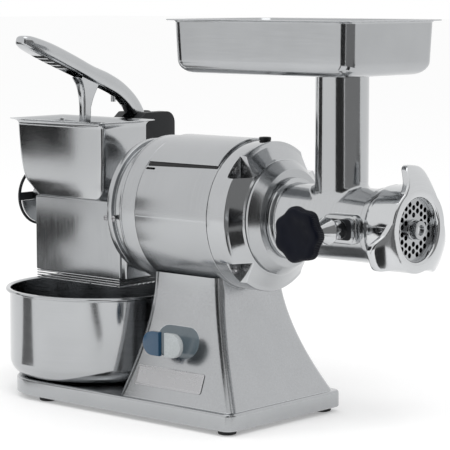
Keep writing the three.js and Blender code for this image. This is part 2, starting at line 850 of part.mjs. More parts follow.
addPiece(driveLine, "gear_housing", gearHousing(), polishedAluminium);
addPiece(driveLine, "oil_plug", oilPlug(), blackPlastic);
addPiece(driveLine, "drive_pinion",
  spurGear(motorTeeth, pinionBore + seat, firstGearStart, firstGearEnd, pinionTip, -quarterTurn), gearSteel);
addPiece(driveLine, "output_gear",
  spurGear(outputTeeth, outputRadius + seat, secondGearStart, secondGearEnd, wheelTip,
    -quarterTurn + Math.PI / outputTeeth), brass);
addPiece(driveLine, "output_shaft", outputShaft(), gearSteel);
addPiece(driveLine, "output_bearing", ballBearing(
  housingLength - 2 - seat - outputBearingWidth, outputBearingWidth, outputBearing, outputRadius + seat),
  brightSteel);

const layLine = new THREE.Group();
layLine.position.z = -centreDistance;
driveLine.add(layLine);
addPiece(layLine, "layshaft", layshaft(), gearSteel);
addPiece(layLine, "layshaft_gear",
  spurGear(layLargeTeeth, layshaftRadius + seat, firstGearStart, firstGearEnd, wheelTip,
    quarterTurn + Math.PI / layLargeTeeth), brass);
addPiece(layLine, "layshaft_pinion",
  spurGear(laySmallTeeth, layshaftRadius + seat, secondGearStart, secondGearEnd, pinionTip, quarterTurn),
  gearSteel);

// ------------------------------------------------------------------ mincing head

const plateStart = barrelEnd - plateDepth + 3.7;
const plateEnd = plateStart + plateDepth;
const knifeEnd = plateStart - seat;
const knifeStart = knifeEnd - knifeThickness;
const augerStart = tailInside + 1;
const augerEnd = knifeStart - seat;
const bossFace = -bossReach;
const ferruleEnd = bossFace - seat - ferruleLength;

function headHub() {
  const start = housingLength + seat;
  return turned("x", [
    [start, outputRadius + 2], [start, hubRearRadius], [hubEnd, hubFrontRadius],
    [hubEnd, socketRadius + seat],
    [hubEnd - socketDepth, socketRadius + seat], [hubEnd - socketDepth, outputRadius + 2],
  ], bigSides);
}

function grinderBarrel() {
  const flange = hubEnd + seat;
  const outside = turned("x", [
    [tailStart, 0], [tailStart, socketRadius], [flange, socketRadius], [flange, barrelFlangeRadius],
    [flange + barrelFlangeLength, barrelFlangeRadius], [flange + barrelFlangeLength, barrelRadius],
    [collarStart, barrelRadius], [collarStart, collarRadius], [nutStart - seat, collarRadius],
    [nutStart - seat, threadRadius], [barrelEnd, threadRadius], [barrelEnd, 0],
  ], bigSides);
  const neck = rod("z", 0, neckRise, neckOuter, midSides, [neckX, 0, 0]);
  const pad = new THREE.Shape(roundedLoop([bossX - bossLength / 2, bossX + bossLength / 2],
    [-bossTall / 2, bossTall / 2], [9, 9, 9, 9], 2).map(([x, z]) => new THREE.Vector2(x, z)));
  const boss = extruded("y", pad, bossFace, 0);
  const bore = rod("x", tailInside, barrelEnd + 1, barrelBore, bigSides);
  const plateSeat = rod("x", plateStart - seat, barrelEnd + 1, plateRadius + seat, bigSides);
  const tailHole = rod("x", tailStart - 1, tailInside + 1, outputRadius + 1, midSides);
  const neckBore = rod("z", 0, neckRise + 1, neckOuter - neckWall, midSides, [neckX, 0, 0]);
  const studHole = rod("y", bossFace - 1, bossFace + ferruleSpigot + seat, ferruleSpigot + seat, pinSides,
    [bossX, 0, 0]);
  return cut(join(outside, neck, boss), bore, plateSeat, tailHole, neckBore, studHole);
}

function clampFerrule() {
  const face = bossFace - seat;
  return turned("y", [
    [bossFace + ferruleSpigot - seat, studRadius + seat], [bossFace + ferruleSpigot - seat, ferruleSpigot],
    [face, ferruleSpigot], [face, ferruleRadius], [face - 8, ferruleRadius], [face - 10, ferruleRadius - 1],
    [ferruleEnd + 2, ferruleNose], [ferruleEnd, ferruleNose - 1], [ferruleEnd, studRadius + seat],
  ], pinSides, [bossX, 0, 0]);
}

// Lobed hand knob with its clamping stud.
function clampKnob() {
  const back = ferruleEnd - seat;
  const front = back - knobThickness;
  const middle = (knobRadius + knobWaist) / 2;
  const swing = (knobRadius - knobWaist) / 2;
  const points = 5 * knobLobes;
  const loopAt = (scale, y) => Array.from({ length: points }, (_, i) => {
    const angle = (2 * Math.PI * i) / points;
    const radius = scale * (middle + swing * Math.cos(knobLobes * angle));
    return new THREE.Vector3(bossX + radius * Math.cos(angle), y, radius * Math.sin(angle));
  });
  const body = loft([
    loopAt(0.86, back), loopAt(1, back - 3), loopAt(1, front + 3),
    loopAt(0.9, front + 0.6), loopAt(0.8, front),
  ]);
  const hub = rod("y", back - 1, back, ferruleNose + 3, smallSides, [bossX, 0, 0]);
  const stud = rod("y", back - 1, bossFace + ferruleSpigot - 2, studRadius, pinSides, [bossX, 0, 0]);
  return join(body, hub, stud);
}

// The screw's flight: a tapered blade swept round the root.
function augerFlight(from, to) {
  const outer = barrelBore - augerClearance;
  const inner = augerRoot - 1;
  const stepsPerTurn = 8;
  const steps = Math.round(((to - from - flightThickness) / augerPitch) * stepsPerTurn);
  const loops = [];
  for (let i = 0; i <= steps; i += 1) {
    const angle = (2 * Math.PI * i) / stepsPerTurn;
    const x = from + flightThickness / 2 + ((to - from - flightThickness) * i) / steps;
    loops.push([
      [-flightThickness / 2, inner], [-flightTip / 2, outer],
      [flightTip / 2, outer], [flightThickness / 2, inner],
    ].map(([shift, radius]) =>
      new THREE.Vector3(x + shift, radius * Math.cos(angle), radius * Math.sin(angle))));
  }
  return loft(loops);
}

function auger() {
  const half = tangSide / 2 + seat;
  const square = knifeSquare / 2;
  const core = turned("x", [
    [augerStart, 0], [augerStart, augerRoot], [augerEnd, augerRoot],
    [augerEnd, 0],
  ], midSides);
  const nose = box([augerEnd - 1, knifeEnd - 0.5], [-square, square], [-square, square]);
  const pin = rod("x", augerEnd - 1, plateEnd + plateHubReach - 3, plateBore - seat, pinSides);
  const socket = box([augerStart - 1, outputEnd + tangLength + seat], [-half, half], [-half, half]);
  return cut(join(core, augerFlight(augerStart, augerEnd - 1), nose, pin), socket);
}

// Four swept blades on a square-bored hub.
function cuttingKnife() {
  const half = knifeSquare / 2 + seat;
  const hub = rod("x", knifeStart, knifeEnd, knifeHub, smallSides);
  const blades = [0, 1, 2, 3].map((i) => {
    const blade = new THREE.Shape();
    blade.moveTo(0, -6);
    blade.lineTo(knifeReach - 4, -6);
    blade.lineTo(knifeReach, -2);
    blade.lineTo(knifeReach - 1, 5);
    blade.quadraticCurveTo(knifeReach / 2, 1, 0, 6);
    const geometry = new THREE.ExtrudeGeometry(blade,
      { depth: knifeThickness, bevelEnabled: false, curveSegments: 4 });
    const lay = new THREE.Matrix4().makeBasis(
      new THREE.Vector3(0, 1, 0), new THREE.Vector3(0, 0, 1), new THREE.Vector3(1, 0, 0));
    return solid(geometry.applyMatrix4(lay).rotateX(quarterTurn * i).translate(knifeStart, 0, 0));
  });
  const bore = box([knifeStart - 1, knifeEnd + 1], [-half, half], [-half, half]);
  return cut(join(hub, ...blades), bore);
}

// Perforated plate: a hexagonal grid of holes between the hub and the rim.
function grindingPlate() {
  const shape = new THREE.Shape();
  shape.absarc(0, 0, plateRadius, 0, 2 * Math.PI, false);
  const nearest = plateHub + plateHole / 2 + 0.8;
  const farthest = nutMouth - plateHole / 2 - 0.8;
  const facets = 6;
  const rows = Math.ceil((2 * farthest) / holePitch);
  for (let column = -rows; column <= rows; column += 1) {
    const y = column * holePitch * Math.sin(Math.PI / 3);
    for (let row = -rows; row <= rows; row += 1) {
      const z = (row + (column % 2 === 0 ? 0 : 0.5)) * holePitch;
      const radius = Math.hypot(y, z);
      if (radius < nearest || radius > farthest) continue;
      const hole = Array.from({ length: facets }, (_, k) => {
        const turn = (-2 * Math.PI * k) / facets;
        return new THREE.Vector2(y + (plateHole / 2) * Math.cos(turn), z + (plateHole / 2) * Math.sin(turn));
      });
      shape.holes.push(new THREE.Path(hole));
    }
  }
  const disc = extruded("x", shape, plateStart, plateEnd, bigSides / 2);
  const hub = rod("x", plateStart, plateEnd + plateHubReach, plateHub, midSides);
  return cut(join(disc, hub), rod("x", plateStart - 1, plateEnd + plateHubReach + 1, plateBore, pinSides));
}

// Ring nut with three blunt wings.
function ringNut() {
  const end = nutStart + nutLength;
  const lipBack = end - nutLip;
  const shell = turned("x", [
    [nutStart, threadRadius + 0.4], [nutStart, nutRadius], [end - 2, nutRadius], [end, nutRadius - 2.5],
    [end, nutMouth], [lipBack, nutMouth], [lipBack, threadRadius + 0.4],
  ], bigSides);
  const hollow = rod("x", nutStart - 1, end + 1, threadRadius + 1, bigSides);
  const stations = [
    [threadRadius - 6, wingRootHalf, 0], [threadRadius + 8, wingTipHalf + 8, wingSweep * 0.3],
    [wingReach - 7, wingTipHalf + 4, wingSweep * 0.75], [wingReach, wingTipHalf, wingSweep],
  ];
  const wings = [0, 1, 2].map((i) => {
    const turn = THREE.MathUtils.degToRad(firstWing - 90 + 120 * i);
    return loft(stations.map(([radius, half, back]) =>
      [[0, half], [0, -half], [-wingThickness, -half], [-wingThickness, half]].map(([x, y]) =>
        new THREE.Vector3(end - 1 + x - back, y, radius).applyAxisAngle(new THREE.Vector3(1, 0, 0), turn))));
  });
  return join(shell, cut(join(...wings), hollow));
}

addPiece(driveLine, "head_hub", headHub(), polishedAluminium);
addPiece(driveLine, "grinder_barrel", grinderBarrel(), polishedAluminium);
addPiece(driveLine, "clamp_ferrule", clampFerrule(), brightSteel);
addPiece(driveLine, "clamp_knob", clampKnob(), blackPlastic);
addPiece(driveLine, "auger", auger(), brightSteel);
addPiece(driveLine, "cutting_knife", cuttingKnife(), brightSteel);
addPiece(driveLine, "grinding_plate", grindingPlate(), brightSteel);
addPiece(driveLine, "ring_nut", ringNut(), polishedAluminium);

// ------------------------------------------------------------------ feed tray
// The tray group stands on the neck's mouth.

function trayLoop(inset, z) {
  const corner = inset < trayLip - 1 ? trayRimCorner : trayCorner;
  return lift(roundedLoop(
    [-trayBehindNeck + inset, trayLength - trayBehindNeck - inset],
    [-trayWidth / 2 + inset, trayWidth / 2 - inset],
    [corner, corner, corner, corner], 3), z);
}

function feedTray() {
  const floor = seat;
  const top = trayDepth;
  const round = trayFloorRadius;
  const foot = trayLip + trayDraft;
  const outside = loft([
    trayLoop(foot + round, floor), trayLoop(foot + round * 0.29, floor + round * 0.29),
    trayLoop(foot, floor + round), trayLoop(trayLip, top - 2.5), trayLoop(0, top - 1.5), trayLoop(0, top),
  ]);
  const sheet = traySheet;
  const inside = loft([
    trayLoop(foot + round, floor + sheet),
    trayLoop(foot + sheet + round * 0.24, floor + sheet + round * 0.24),
    trayLoop(foot + sheet, floor + round),
    trayLoop(trayLip + sheet, top - 1.5), trayLoop(trayLip + sheet, top + 5),
  ]);
  const spigotRadius = neckOuter - neckWall - seat;
  const spigot = rod("z", -traySpigot, floor + sheet, spigotRadius, midSides);
  const mouth = rod("z", -traySpigot - 1, floor + sheet + 1, spigotRadius - 1.5, midSides);
  return cut(join(cut(outside, inside), spigot), mouth);
}

const trayGroup = new THREE.Group();
trayGroup.position.set(neckX, 0, axisHeight + neckRise);
model.add(trayGroup);
addPiece(trayGroup, "feed_tray", feedTray(), brushedSteel);

// ------------------------------------------------------------------ grater

const adapterStart = capEnd - seat;
const adapterEnd = adapterStart - adapterLength;
const chuteRight = adapterEnd - seat;
const hopperFoot = chuteTop + seat;

// Ring and disc that carry the grater on the motor's rear cap.
function graterFlange() {
  const discBack = adapterEnd + noseLength;
  return turned("x", [
    [adapterStart, shaftRadius + 4], [adapterStart, adapterRadius],
    [discBack + discThickness, adapterRadius],
    [discBack + discThickness, discRadius], [discBack, discRadius], [discBack, noseRadius],
    [adapterEnd, noseRadius], [adapterEnd, quillRadius + seat],
    [adapterEnd + 10, quillRadius + seat], [adapterEnd + 10, shaftRadius + 4],
  ], bigSides);
}

function hopperLevel([left, right], inset, corner, z) {
  return lift(roundedLoop([left + inset, right - inset], [hopperFront + inset, hopperBack - inset],
    Array(4).fill(corner), 2), z);
}

function graterHopper() {
  const span = hopperRise - hopperFoot;
  const levels = [[0, hopperFootLeft, hopperFootRight], [0.1, hopperFootLeft - 11, hopperFootRight + 3],
    [0.22, hopperTopLeft + 12, hopperTopRight - 1], [0.45, hopperTopLeft + 5, hopperTopRight],
    [0.93, hopperTopLeft, hopperTopRight]];
  const rim = [hopperTopLeft, hopperTopRight];
  const outside = loft([
    ...levels.map(([share, left, right]) =>
      hopperLevel([left, right], 0, hopperCorner, hopperFoot + span * share)),
    hopperLevel(rim, -hopperLip, hopperRimCorner, hopperRise - 1.2),
    hopperLevel(rim, -hopperLip, hopperRimCorner, hopperRise),
  ]);
  const inside = loft([
    ...levels.map(([share, left, right]) => hopperLevel([left, right], hopperWall, hopperCorner - hopperWall,
      share === 0 ? hopperFoot - 1 : hopperFoot + span * share)),
    hopperLevel(rim, hopperWall - hopperLip, hopperRimCorner, hopperRise + 0.2),
    hopperLevel(rim, hopperWall - hopperLip, hopperRimCorner, hopperRise + 5),
  ]);
  const hubNotch = rod("x", hopperTopLeft - 20, drumStart - 4, endHubRadius + seat, midSides);
  const shaftNotch = rod("x", drumEnd - 20, hopperTopRight + 20, quillRadius + seat, midSides);
  return cut(outside, inside, hubNotch, shaftNotch);
}

// Casting under the hopper: an open chute with the quill that carries the drum shaft.
function graterHousing() {
  const [x0, x1] = [chuteLeft, chuteRight];
  const block = box([x0, x1], [-chuteHalf, chuteHalf], [-chuteDrop, chuteTop]);
  const wellEnd = drumEnd + 3;
  const well = box([x0 + chuteWall, wellEnd], [-chuteHalf + chuteWall, chuteHalf - chuteWall],
    [-chuteDrop - 1, chuteTop + 1]);
  const lower = box([wellEnd - 1, x1 - chuteWall], [-chuteHalf + chuteWall, chuteHalf - chuteWall],
    [-chuteDrop - 1, -quillRadius - chuteWall]);
  const quill = rod("x", wellEnd, x1 + 9, quillRadius, midSides);
  const quillBore = rod("x", wellEnd - 1, x1 + 10, shaftRadius + 1, midSides);
  const hubHole = rod("x", x0 - 1, x0 + chuteWall + 1, endHubRadius + seat, midSides);
  return cut(join(block, quill), well, lower, quillBore, hubHole);
}

// Sheet skin on the front of the chute.
function frontPanel() {
  const y = -chuteHalf - seat;
  const outline = roundedLoop(
    [chuteLeft, chuteRight - panelShort], [-chuteDrop, chuteTop], Array(4).fill(panelCorner), 2);
  const shape = new THREE.Shape(outline.map(([x, z]) => new THREE.Vector2(x, z)));
  return extruded("y", shape, y - panelThickness, y);
}

const outletTop = -chuteDrop - seat;
const outletBottom = outletTop - outletDepth;

function outletCollar() {
  const [x0, x1, half] = [chuteLeft + 2, chuteRight - 8, chuteHalf - 1];
  const frame = box([x0, x1], [-half, half], [outletBottom, outletTop]);
  const hole = box([x0 + outletWall, x1 - outletWall], [-half + outletWall, half - outletWall],
    [outletBottom - 1, outletTop + 1]);
  return cut(frame, hole);
}

// Welded wire grille under the outlet, so that fingers can't reach the drum.
function wireGuard() {
  const z = outletBottom - seat - wireRadius;
  const half = chuteHalf + 2;
  const [x0, x1] = [chuteLeft + 2, chuteRight - 10];
  const wires = [];
  for (let i = 0; i < guardWires; i += 1) {
    const y = THREE.MathUtils.lerp(-half, half, i / (guardWires - 1));
    wires.push(rod("x", x0, x1, wireRadius, 4, [0, y, z]));
  }
  for (let i = 0; i < guardTies; i += 1) {
    const x = THREE.MathUtils.lerp(x0 + 2, x1 - 2, i / (guardTies - 1));
    wires.push(rod("y", -half, half, wireRadius * 0.9, 4, [x, 0, z + 0.1]));
  }
  return join(...wires);
}

// Grating drum: a roller set with staggered rows of raised cutting teeth.
function graterDrum() {
  const body = turned("x", [
    [drumStart, drumBore + seat], [drumStart, drumRadius - 1.5], [drumStart + 1.5, drumRadius],
    [drumEnd - 1.5, drumRadius], [drumEnd, drumRadius - 1.5], [drumEnd, drumBore + seat],
  ], midSides);
  const pitch = (drumLength - 8) / drumRings;
  const teeth = [];
  for (let row = 0; row < drumRows; row += 1) {
    const angle = (2 * Math.PI * (row + 0.25)) / drumRows;
    for (let i = 0; i < drumRings; i += 1) {
      const x = drumStart + 4 + pitch * (i + (row % 2 === 0 ? 0.25 : 0.75));
      const base = [[-3.2, -2.4], [3.2, -2.4], [0, 3.6]].map(([u, v]) =>
        new THREE.Vector3(u, v, drumRadius - 1.5));
      const burr = [[-0.8, -2.4], [0.8, -2.4], [0, -1.6]].map(([u, v]) =>
        new THREE.Vector3(u, v, drumRadius + drumTooth));
      const tooth = loft([base, burr].map((loop) => loop.map((point) => point
        .applyAxisAngle(new THREE.Vector3(1, 0, 0), angle)
        .add(new THREE.Vector3(x, 0, 0)))));
      teeth.push(tooth);
    }
  }
  return join(body, ...teeth);
}

const handleFace = chuteLeft - endHubReach;

// Hub that closes the drum's end, with a half plate under it and a guard plate at its nose.
function drumEndHub() {
  const hub = turned("x", [
    [handleFace, 0], [handleFace, endHubRadius],
    [drumStart - 3 - seat, endHubRadius], [drumStart - 3 - seat, 0],
  ], midSides);
  const halfDisc = (radius, from, to, top) => {
    const below = box([from - 1, to + 1], [-radius - 1, radius + 1], [-radius - 1, top]);
    return below.intersect(rod("x", from, to, radius, midSides));
  };
  const seatPlate = halfDisc(
    endPlateRadius, chuteLeft - seat - endPlateThickness, chuteLeft - seat, chuteTop - 1);
  const nosePlate = halfDisc(handleRadius - handleRim, handleFace, handleFace + 1.5, -handleBar / 2);
  const bore = rod("x", journalEnd - 2, drumStart, shaftRadius + seat, midSides);
  return cut(join(hub, seatPlate, nosePlate), bore);
}

// Round handle with one bar across it.
function endHandle() {
  const back = handleFace - seat;
  const front = back - handleThickness;
  const rim = ring("x", front, back, handleRadius, handleRadius - handleRim, midSides);
  const reach = handleRadius - handleRim / 2;
  return join(rim, box([front, back], [-reach, reach], [-handleBar / 2, handleBar / 2]));
}

addPiece(driveLine, "grater_flange", graterFlange(), polishedAluminium);
addPiece(driveLine, "grater_housing", graterHousing(), castAluminium);
addPiece(driveLine, "grater_hopper", graterHopper(), polishedAluminium);
addPiece(driveLine, "front_panel", frontPanel(), brushedSteel);
addPiece(driveLine, "outlet_collar", outletCollar(), blackPlastic);
addPiece(driveLine, "wire_guard", wireGuard(), brightSteel);
addPiece(driveLine, "grater_drum", graterDrum(), brightSteel);
addPiece(driveLine, "drum_end_hub", drumEndHub(), castAluminium);
addPiece(driveLine, "end_handle", endHandle(), blackPlastic);

// ------------------------------------------------------------------ lever
// The lever line group has its origin on the hinge pin, in the lever's own plane.

const leverLine = new THREE.Group();
leverLine.position.set(leverX, pinBack, axisHeight + pinRise);
model.add(leverLine);

const slotHalf = armWidth / 2 + slotSlack;

function hingeBlock() {
  const low = blockBottom - pinRise;
  const top = blockTop - pinRise;
  const back = blockBack - pinBack;
  const front = hopperBack + seat - pinBack;
  const lipFront = hopperBack + hopperLip + 0.6 - pinBack;
  const underLip = hopperRise - 8 - pinRise;
  const shape = new THREE.Shape();
  shape.moveTo(front, low);
  shape.lineTo(back - blockCorner, low);
  shape.absarc(back - blockCorner, low + blockCorner, blockCorner, -Math.PI / 2, 0, false);
  shape.absarc(back - blockCorner, top - blockCorner, blockCorner, 0, Math.PI / 2, false);
  shape.lineTo(lipFront + 3, top);
  shape.lineTo(lipFront, top - 3);
  shape.lineTo(lipFront, underLip);
  shape.lineTo(front, underLip);
  shape.closePath();
  const body = extruded("x", shape, -blockHalf, blockHalf, 5);
  const slot = box([-slotHalf, slotHalf], [front - 1, back + 1], [-eyeRadius - 2, top + 1]);
  const pinHole = rod("x", -blockHalf + pinInset, blockHalf - pinInset, pinRadius + seat, pinSides);
  return cut(body, slot, pinHole);
}

function hingePin() {
  return rod("x", -blockHalf + pinInset + seat, blockHalf - pinInset - seat, pinRadius, pinSides);
}

// Stations along the lever: [back of the axis, above the axis, thickness, width].
const leverStations = [
  [-102, 200, 7, 12],
  [-97, 198.5, 13, 19],
  [-86, 195, 18, 0.82 * gripWidth],
  [-58, 185, 21, gripWidth],
  [-20, 170, 21, 0.97 * gripWidth],
  [12, 157, 20, 0.84 * gripWidth],
  [40, 146, 21, 1.1 * armWidth],
  [64, 133, 20, armWidth],
  [82, 117, 20, armWidth],
  [92, 100, 22, armWidth],
  [pinBack - 1, pinRise + 2, 24, armWidth],
];

// A cross-section of the lever, square to its spine: flat below, rounded above.
function leverLoop(station, before, after, shrink, drop) {
  const [y, z, thick, width] = station;
  const along = new THREE.Vector3(0, after[0] - before[0], after[1] - before[1]).normalize();
  const up = new THREE.Vector3(0, -along.z, along.y);
  const half = width / 2 - shrink;
  const tall = thick / 2 - shrink;
  const low = thick / 2 + drop;
  const round = Math.min(half, tall) * 0.62;
  const centre = new THREE.Vector3(0, y - pinBack, z - pinRise);
  return [
    [-half, -low], [half, -low], [half, tall - round], [half - 0.3 * round, tall - 0.3 * round],
    [half - round, tall], [-half + round, tall],
    [-half + 0.3 * round, tall - 0.3 * round], [-half, tall - round],
  ].map(([x, height]) => new THREE.Vector3(x, 0, 0).add(centre).addScaledVector(up, height));
}

function leverLoops(first, last, shrink, drop) {
  const loops = [];
  for (let i = first; i <= last; i += 1) {
    const before = leverStations[Math.max(i - 1, 0)];
    const after = leverStations[Math.min(i + 1, leverStations.length - 1)];
    loops.push(leverLoop(leverStations[i], before, after, shrink, drop));
  }
  return loops;
}

// The stem under the arm: [above the motor axis, front and back edges in depths, width in widths].
const stemSections = [
  [presserTop + seat, -0.5, 0.5, 1],
  [stemTop - 38, -0.53, 0.56, 1.05],
  [stemTop - 22, -0.64, 1.1, 1.3],
  [stemTop - 11, -0.95, 1.7, 1.75],
  [stemTop - 4, -1.8, 1.9, 2],
];

function leverArm() {
  const spine = loft(leverLoops(0, leverStations.length - 1, 0, 0));
  const eye = rod("x", -armWidth / 2, armWidth / 2, eyeRadius, midSides);
  const stem = loft(stemSections.map(([z, front, back, width]) => lift(roundedLoop(
    [(-stemWidth * width) / 2, (stemWidth * width) / 2],
    [front * stemDepth + stemBack - pinBack, back * stemDepth + stemBack - pinBack],
    [3, 3, 3, 3], 2), z - pinRise)));
  const gripHollow = loft(leverLoops(2, 4, leverWall, 4));
  const armHollow = loft(leverLoops(6, 8, leverWall, 4));
  const ribs = [];
  for (let i = 1; i <= leverRibs; i += 1) {
    const y = THREE.MathUtils.lerp(leverStations[2][0], leverStations[4][0], i / (leverRibs + 1)) - pinBack;
    ribs.push(box([-gripWidth, gripWidth], [y - 1.5, y + 1.5], [0, 200]));
  }
  const pinHole = rod("x", -armWidth, armWidth, pinRadius + seat, pinSides);
  const stopPeg = rod("z", pegBottom - pinRise, pegTop - pinRise, pegRadius, smallSides,
    [0, pegBack - pinBack, 0]);
  return cut(join(cut(spine, cut(gripHollow, ...ribs), armHollow), eye, stem, stopPeg), pinHole);
}

// Plate that pushes the cheese down on the drum.
function presserPlate() {
  const top = presserTop - pinRise;
  const loopAt = (inset, z) => lift(roundedLoop(
    [-presserLength / 2 + inset, presserLength / 2 - inset],
    [presserFront - pinBack + inset, presserBack - pinBack - inset], [6, 6, 6, 6], 3), z);
  return loft([
    loopAt(1.5, top - presserThickness), loopAt(0, top - presserThickness + 1.5),
    loopAt(0, top - 1), loopAt(1, top),
  ]);
}

addPiece(leverLine, "hinge_block", hingeBlock(), blackPlastic);
addPiece(leverLine, "hinge_pin", hingePin(), brightSteel);
addPiece(leverLine, "lever_arm", leverArm(), polishedAluminium);
const presserLine = new THREE.Group();
presserLine.position.x = 2;
leverLine.add(presserLine);
addPiece(presserLine, "presser_plate", presserPlate(), brightSteel);

// ------------------------------------------------------------------ bowl

function bowl() {
  const r = bowlRadius;
  const t = bowlSheet;
  const c = bowlCorner;
  const arc = (radius, shift) => [0, 45, 90].map((degrees) => {
    const angle = THREE.MathUtils.degToRad(degrees);
    return [shift + c - radius * Math.cos(angle), r - c + radius * Math.sin(angle)];
  });
  const outer = [[0, 0], ...arc(c, 0), [bowlHeight - 4, r], [bowlHeight - 4, bowlRim],
    [bowlHeight - 1.5, bowlRim], [bowlHeight, bowlRim - 2]];
  const inner = [[bowlHeight, r - t], ...arc(c - t, 0).reverse(), [t, 0]];
  return turned("z", [...outer, ...inner], bigSides);
}

const bowlGroup = new THREE.Group();
bowlGroup.position.set(bowlX, 0, slabTop + seat);
model.add(bowlGroup);
addPiece(bowlGroup, "collecting_bowl", bowl(), brushedSteel);

// ------------------------------------------------------------------ frame

const extent = new THREE.Box3().setFromObject(model);
const middle = extent.getCenter(new THREE.Vector3());
model.position.set(-middle.x, -middle.y, -extent.min.z);

export default model;
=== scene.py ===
import json
import math
import bmesh
import bpy
from mathutils import Matrix, Vector


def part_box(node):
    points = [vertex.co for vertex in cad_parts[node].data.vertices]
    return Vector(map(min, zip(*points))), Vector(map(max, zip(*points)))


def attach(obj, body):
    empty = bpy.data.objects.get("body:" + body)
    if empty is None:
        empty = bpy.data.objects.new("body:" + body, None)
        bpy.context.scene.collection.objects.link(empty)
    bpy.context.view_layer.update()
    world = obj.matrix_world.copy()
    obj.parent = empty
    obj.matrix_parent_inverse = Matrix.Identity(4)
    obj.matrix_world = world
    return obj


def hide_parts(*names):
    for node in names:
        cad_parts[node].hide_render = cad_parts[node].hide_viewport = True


# Electric meat grinder and cheese grater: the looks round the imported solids.
# Sizes below are millimetres from the motor's front seam (x), its axis (y) and its axis height (z).

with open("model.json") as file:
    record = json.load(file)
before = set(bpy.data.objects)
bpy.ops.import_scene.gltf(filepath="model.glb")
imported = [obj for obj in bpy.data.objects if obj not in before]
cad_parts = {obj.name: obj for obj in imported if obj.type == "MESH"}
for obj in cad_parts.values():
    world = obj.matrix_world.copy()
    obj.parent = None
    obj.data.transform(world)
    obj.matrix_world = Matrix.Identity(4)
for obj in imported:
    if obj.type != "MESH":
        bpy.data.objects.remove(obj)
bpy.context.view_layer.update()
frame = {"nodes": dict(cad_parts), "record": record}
print("solids loaded:", len(frame["nodes"]))

casingLow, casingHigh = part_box("motor_casing")
seamX = casingHigh.x + 0.0003
axisY = (casingLow.y + casingHigh.y) / 2
axisZ = (casingLow.z + casingHigh.z) / 2
origin = Vector((seamX, axisY, axisZ))


def place(point):
    return origin + Vector(point) / 1000


def span(node):  # a solid's own ranges, in millimetres from the seam and the axis
    low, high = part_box(node)
    return [((low[i] - origin[i]) * 1000, (high[i] - origin[i]) * 1000) for i in range(3)]


def mix(a, b, share):
    return a + (b - a) * share


def linked(name, data):
    thing = bpy.data.objects.new(name, data)
    bpy.context.scene.collection.objects.link(thing)
    return thing


viewer = {"spot": (1526.3, -1785.4, 256.6), "aim": (-0.657, 0.745, -0.1136), "lens": 162.54}
cameraData = bpy.data.cameras.new("camera")
cameraData.lens = viewer["lens"]
cameraData.sensor_width = 36
cameraData.clip_end = 60
camera = linked("camera", cameraData)
camera.location = place(viewer["spot"])
camera.rotation_euler = Vector(viewer["aim"]).to_track_quat("-Z", "Y").to_euler()
bpy.context.scene.camera = camera
bpy.context.scene.view_settings.view_transform = "Standard"


def addNode(tree, kind, settings=None, **sockets):
    node = tree.nodes.new(kind)
    for key, value in (settings or {}).items():
        setattr(node, key, value)
    for key, value in sockets.items():
        numbered = key[0] == "i" and key[1:].isdigit()
        socket = node.inputs[int(key[1:]) if numbered else key.replace("_", " ")]
        if isinstance(value, bpy.types.NodeSocket):
            tree.links.new(value, socket)
        else:
            socket.default_value = value
    return node


def made(tree, kind, settings=None, **sockets):  # a new node's first output
    return addNode(tree, kind, settings, **sockets).outputs[0]


def mathNode(tree, operation, *values):
    return made(tree, "ShaderNodeMath", {"operation": operation},
                **{f"i{i}": value for i, value in enumerate(values)})


def vectorNode(tree, operation, *values):
    return made(tree, "ShaderNodeVectorMath", {"operation": operation},
                **{f"i{i}": value for i, value in enumerate(values)})


def vector(tree, **parts):
    return made(tree, "ShaderNodeCombineXYZ", None, **parts)


def mixColour(tree, factor, first, second):
    node = addNode(tree, "ShaderNodeMix", {"data_type": "RGBA"}, i0=factor)
    for socket, value in ((node.inputs[6], first), (node.inputs[7], second)):
        if isinstance(value, bpy.types.NodeSocket):
            tree.links.new(value, socket)
        else:
            socket.default_value = (*value, 1)
    return node.outputs[2]


def noise(tree, where, scale, detail=2.0):
    return addNode(tree, "ShaderNodeTexNoise", None, Vector=where, Scale=scale, Detail=detail,
                   Roughness=0.5).outputs["Fac"]


def ranged(tree, value, fromLow, fromHigh, toLow, toHigh):
    return made(tree, "ShaderNodeMapRange", None, i0=value, i1=fromLow, i2=fromHigh, i3=toLow, i4=toHigh)


def grainVector(tree, style, centre):
    spot = addNode(tree, "ShaderNodeTexCoord").outputs["Object"]
    local = vectorNode(tree, "SUBTRACT", spot, tuple(centre))
    if style.startswith("turned"):
        parts = addNode(tree, "ShaderNodeSeparateXYZ", None, Vector=local).outputs
        order = {"x": (0, 1, 2), "y": (1, 0, 2), "z": (2, 0, 1)}[style[-1]]
        along, u, v = (parts[i] for i in order)
        squares = mathNode(tree, "ADD", mathNode(tree, "MULTIPLY", u, u), mathNode(tree, "MULTIPLY", v, v))
        radius = mathNode(tree, "SQRT", squares)
        return vector(tree, X=along, Y=radius), local
    if style.startswith("brushed"):
        stretch = {"x": (0.02, 1, 1), "y": (1, 0.02, 1), "z": (1, 1, 0.02)}[style[-1]]
        return vectorNode(tree, "MULTIPLY", local, stretch), local
    return local, local


def bareMaterial(name):  # a material with an empty node tree
    material = bpy.data.materials.new(name)
    material.use_nodes = True
    material.node_tree.nodes.clear()
    return material, material.node_tree


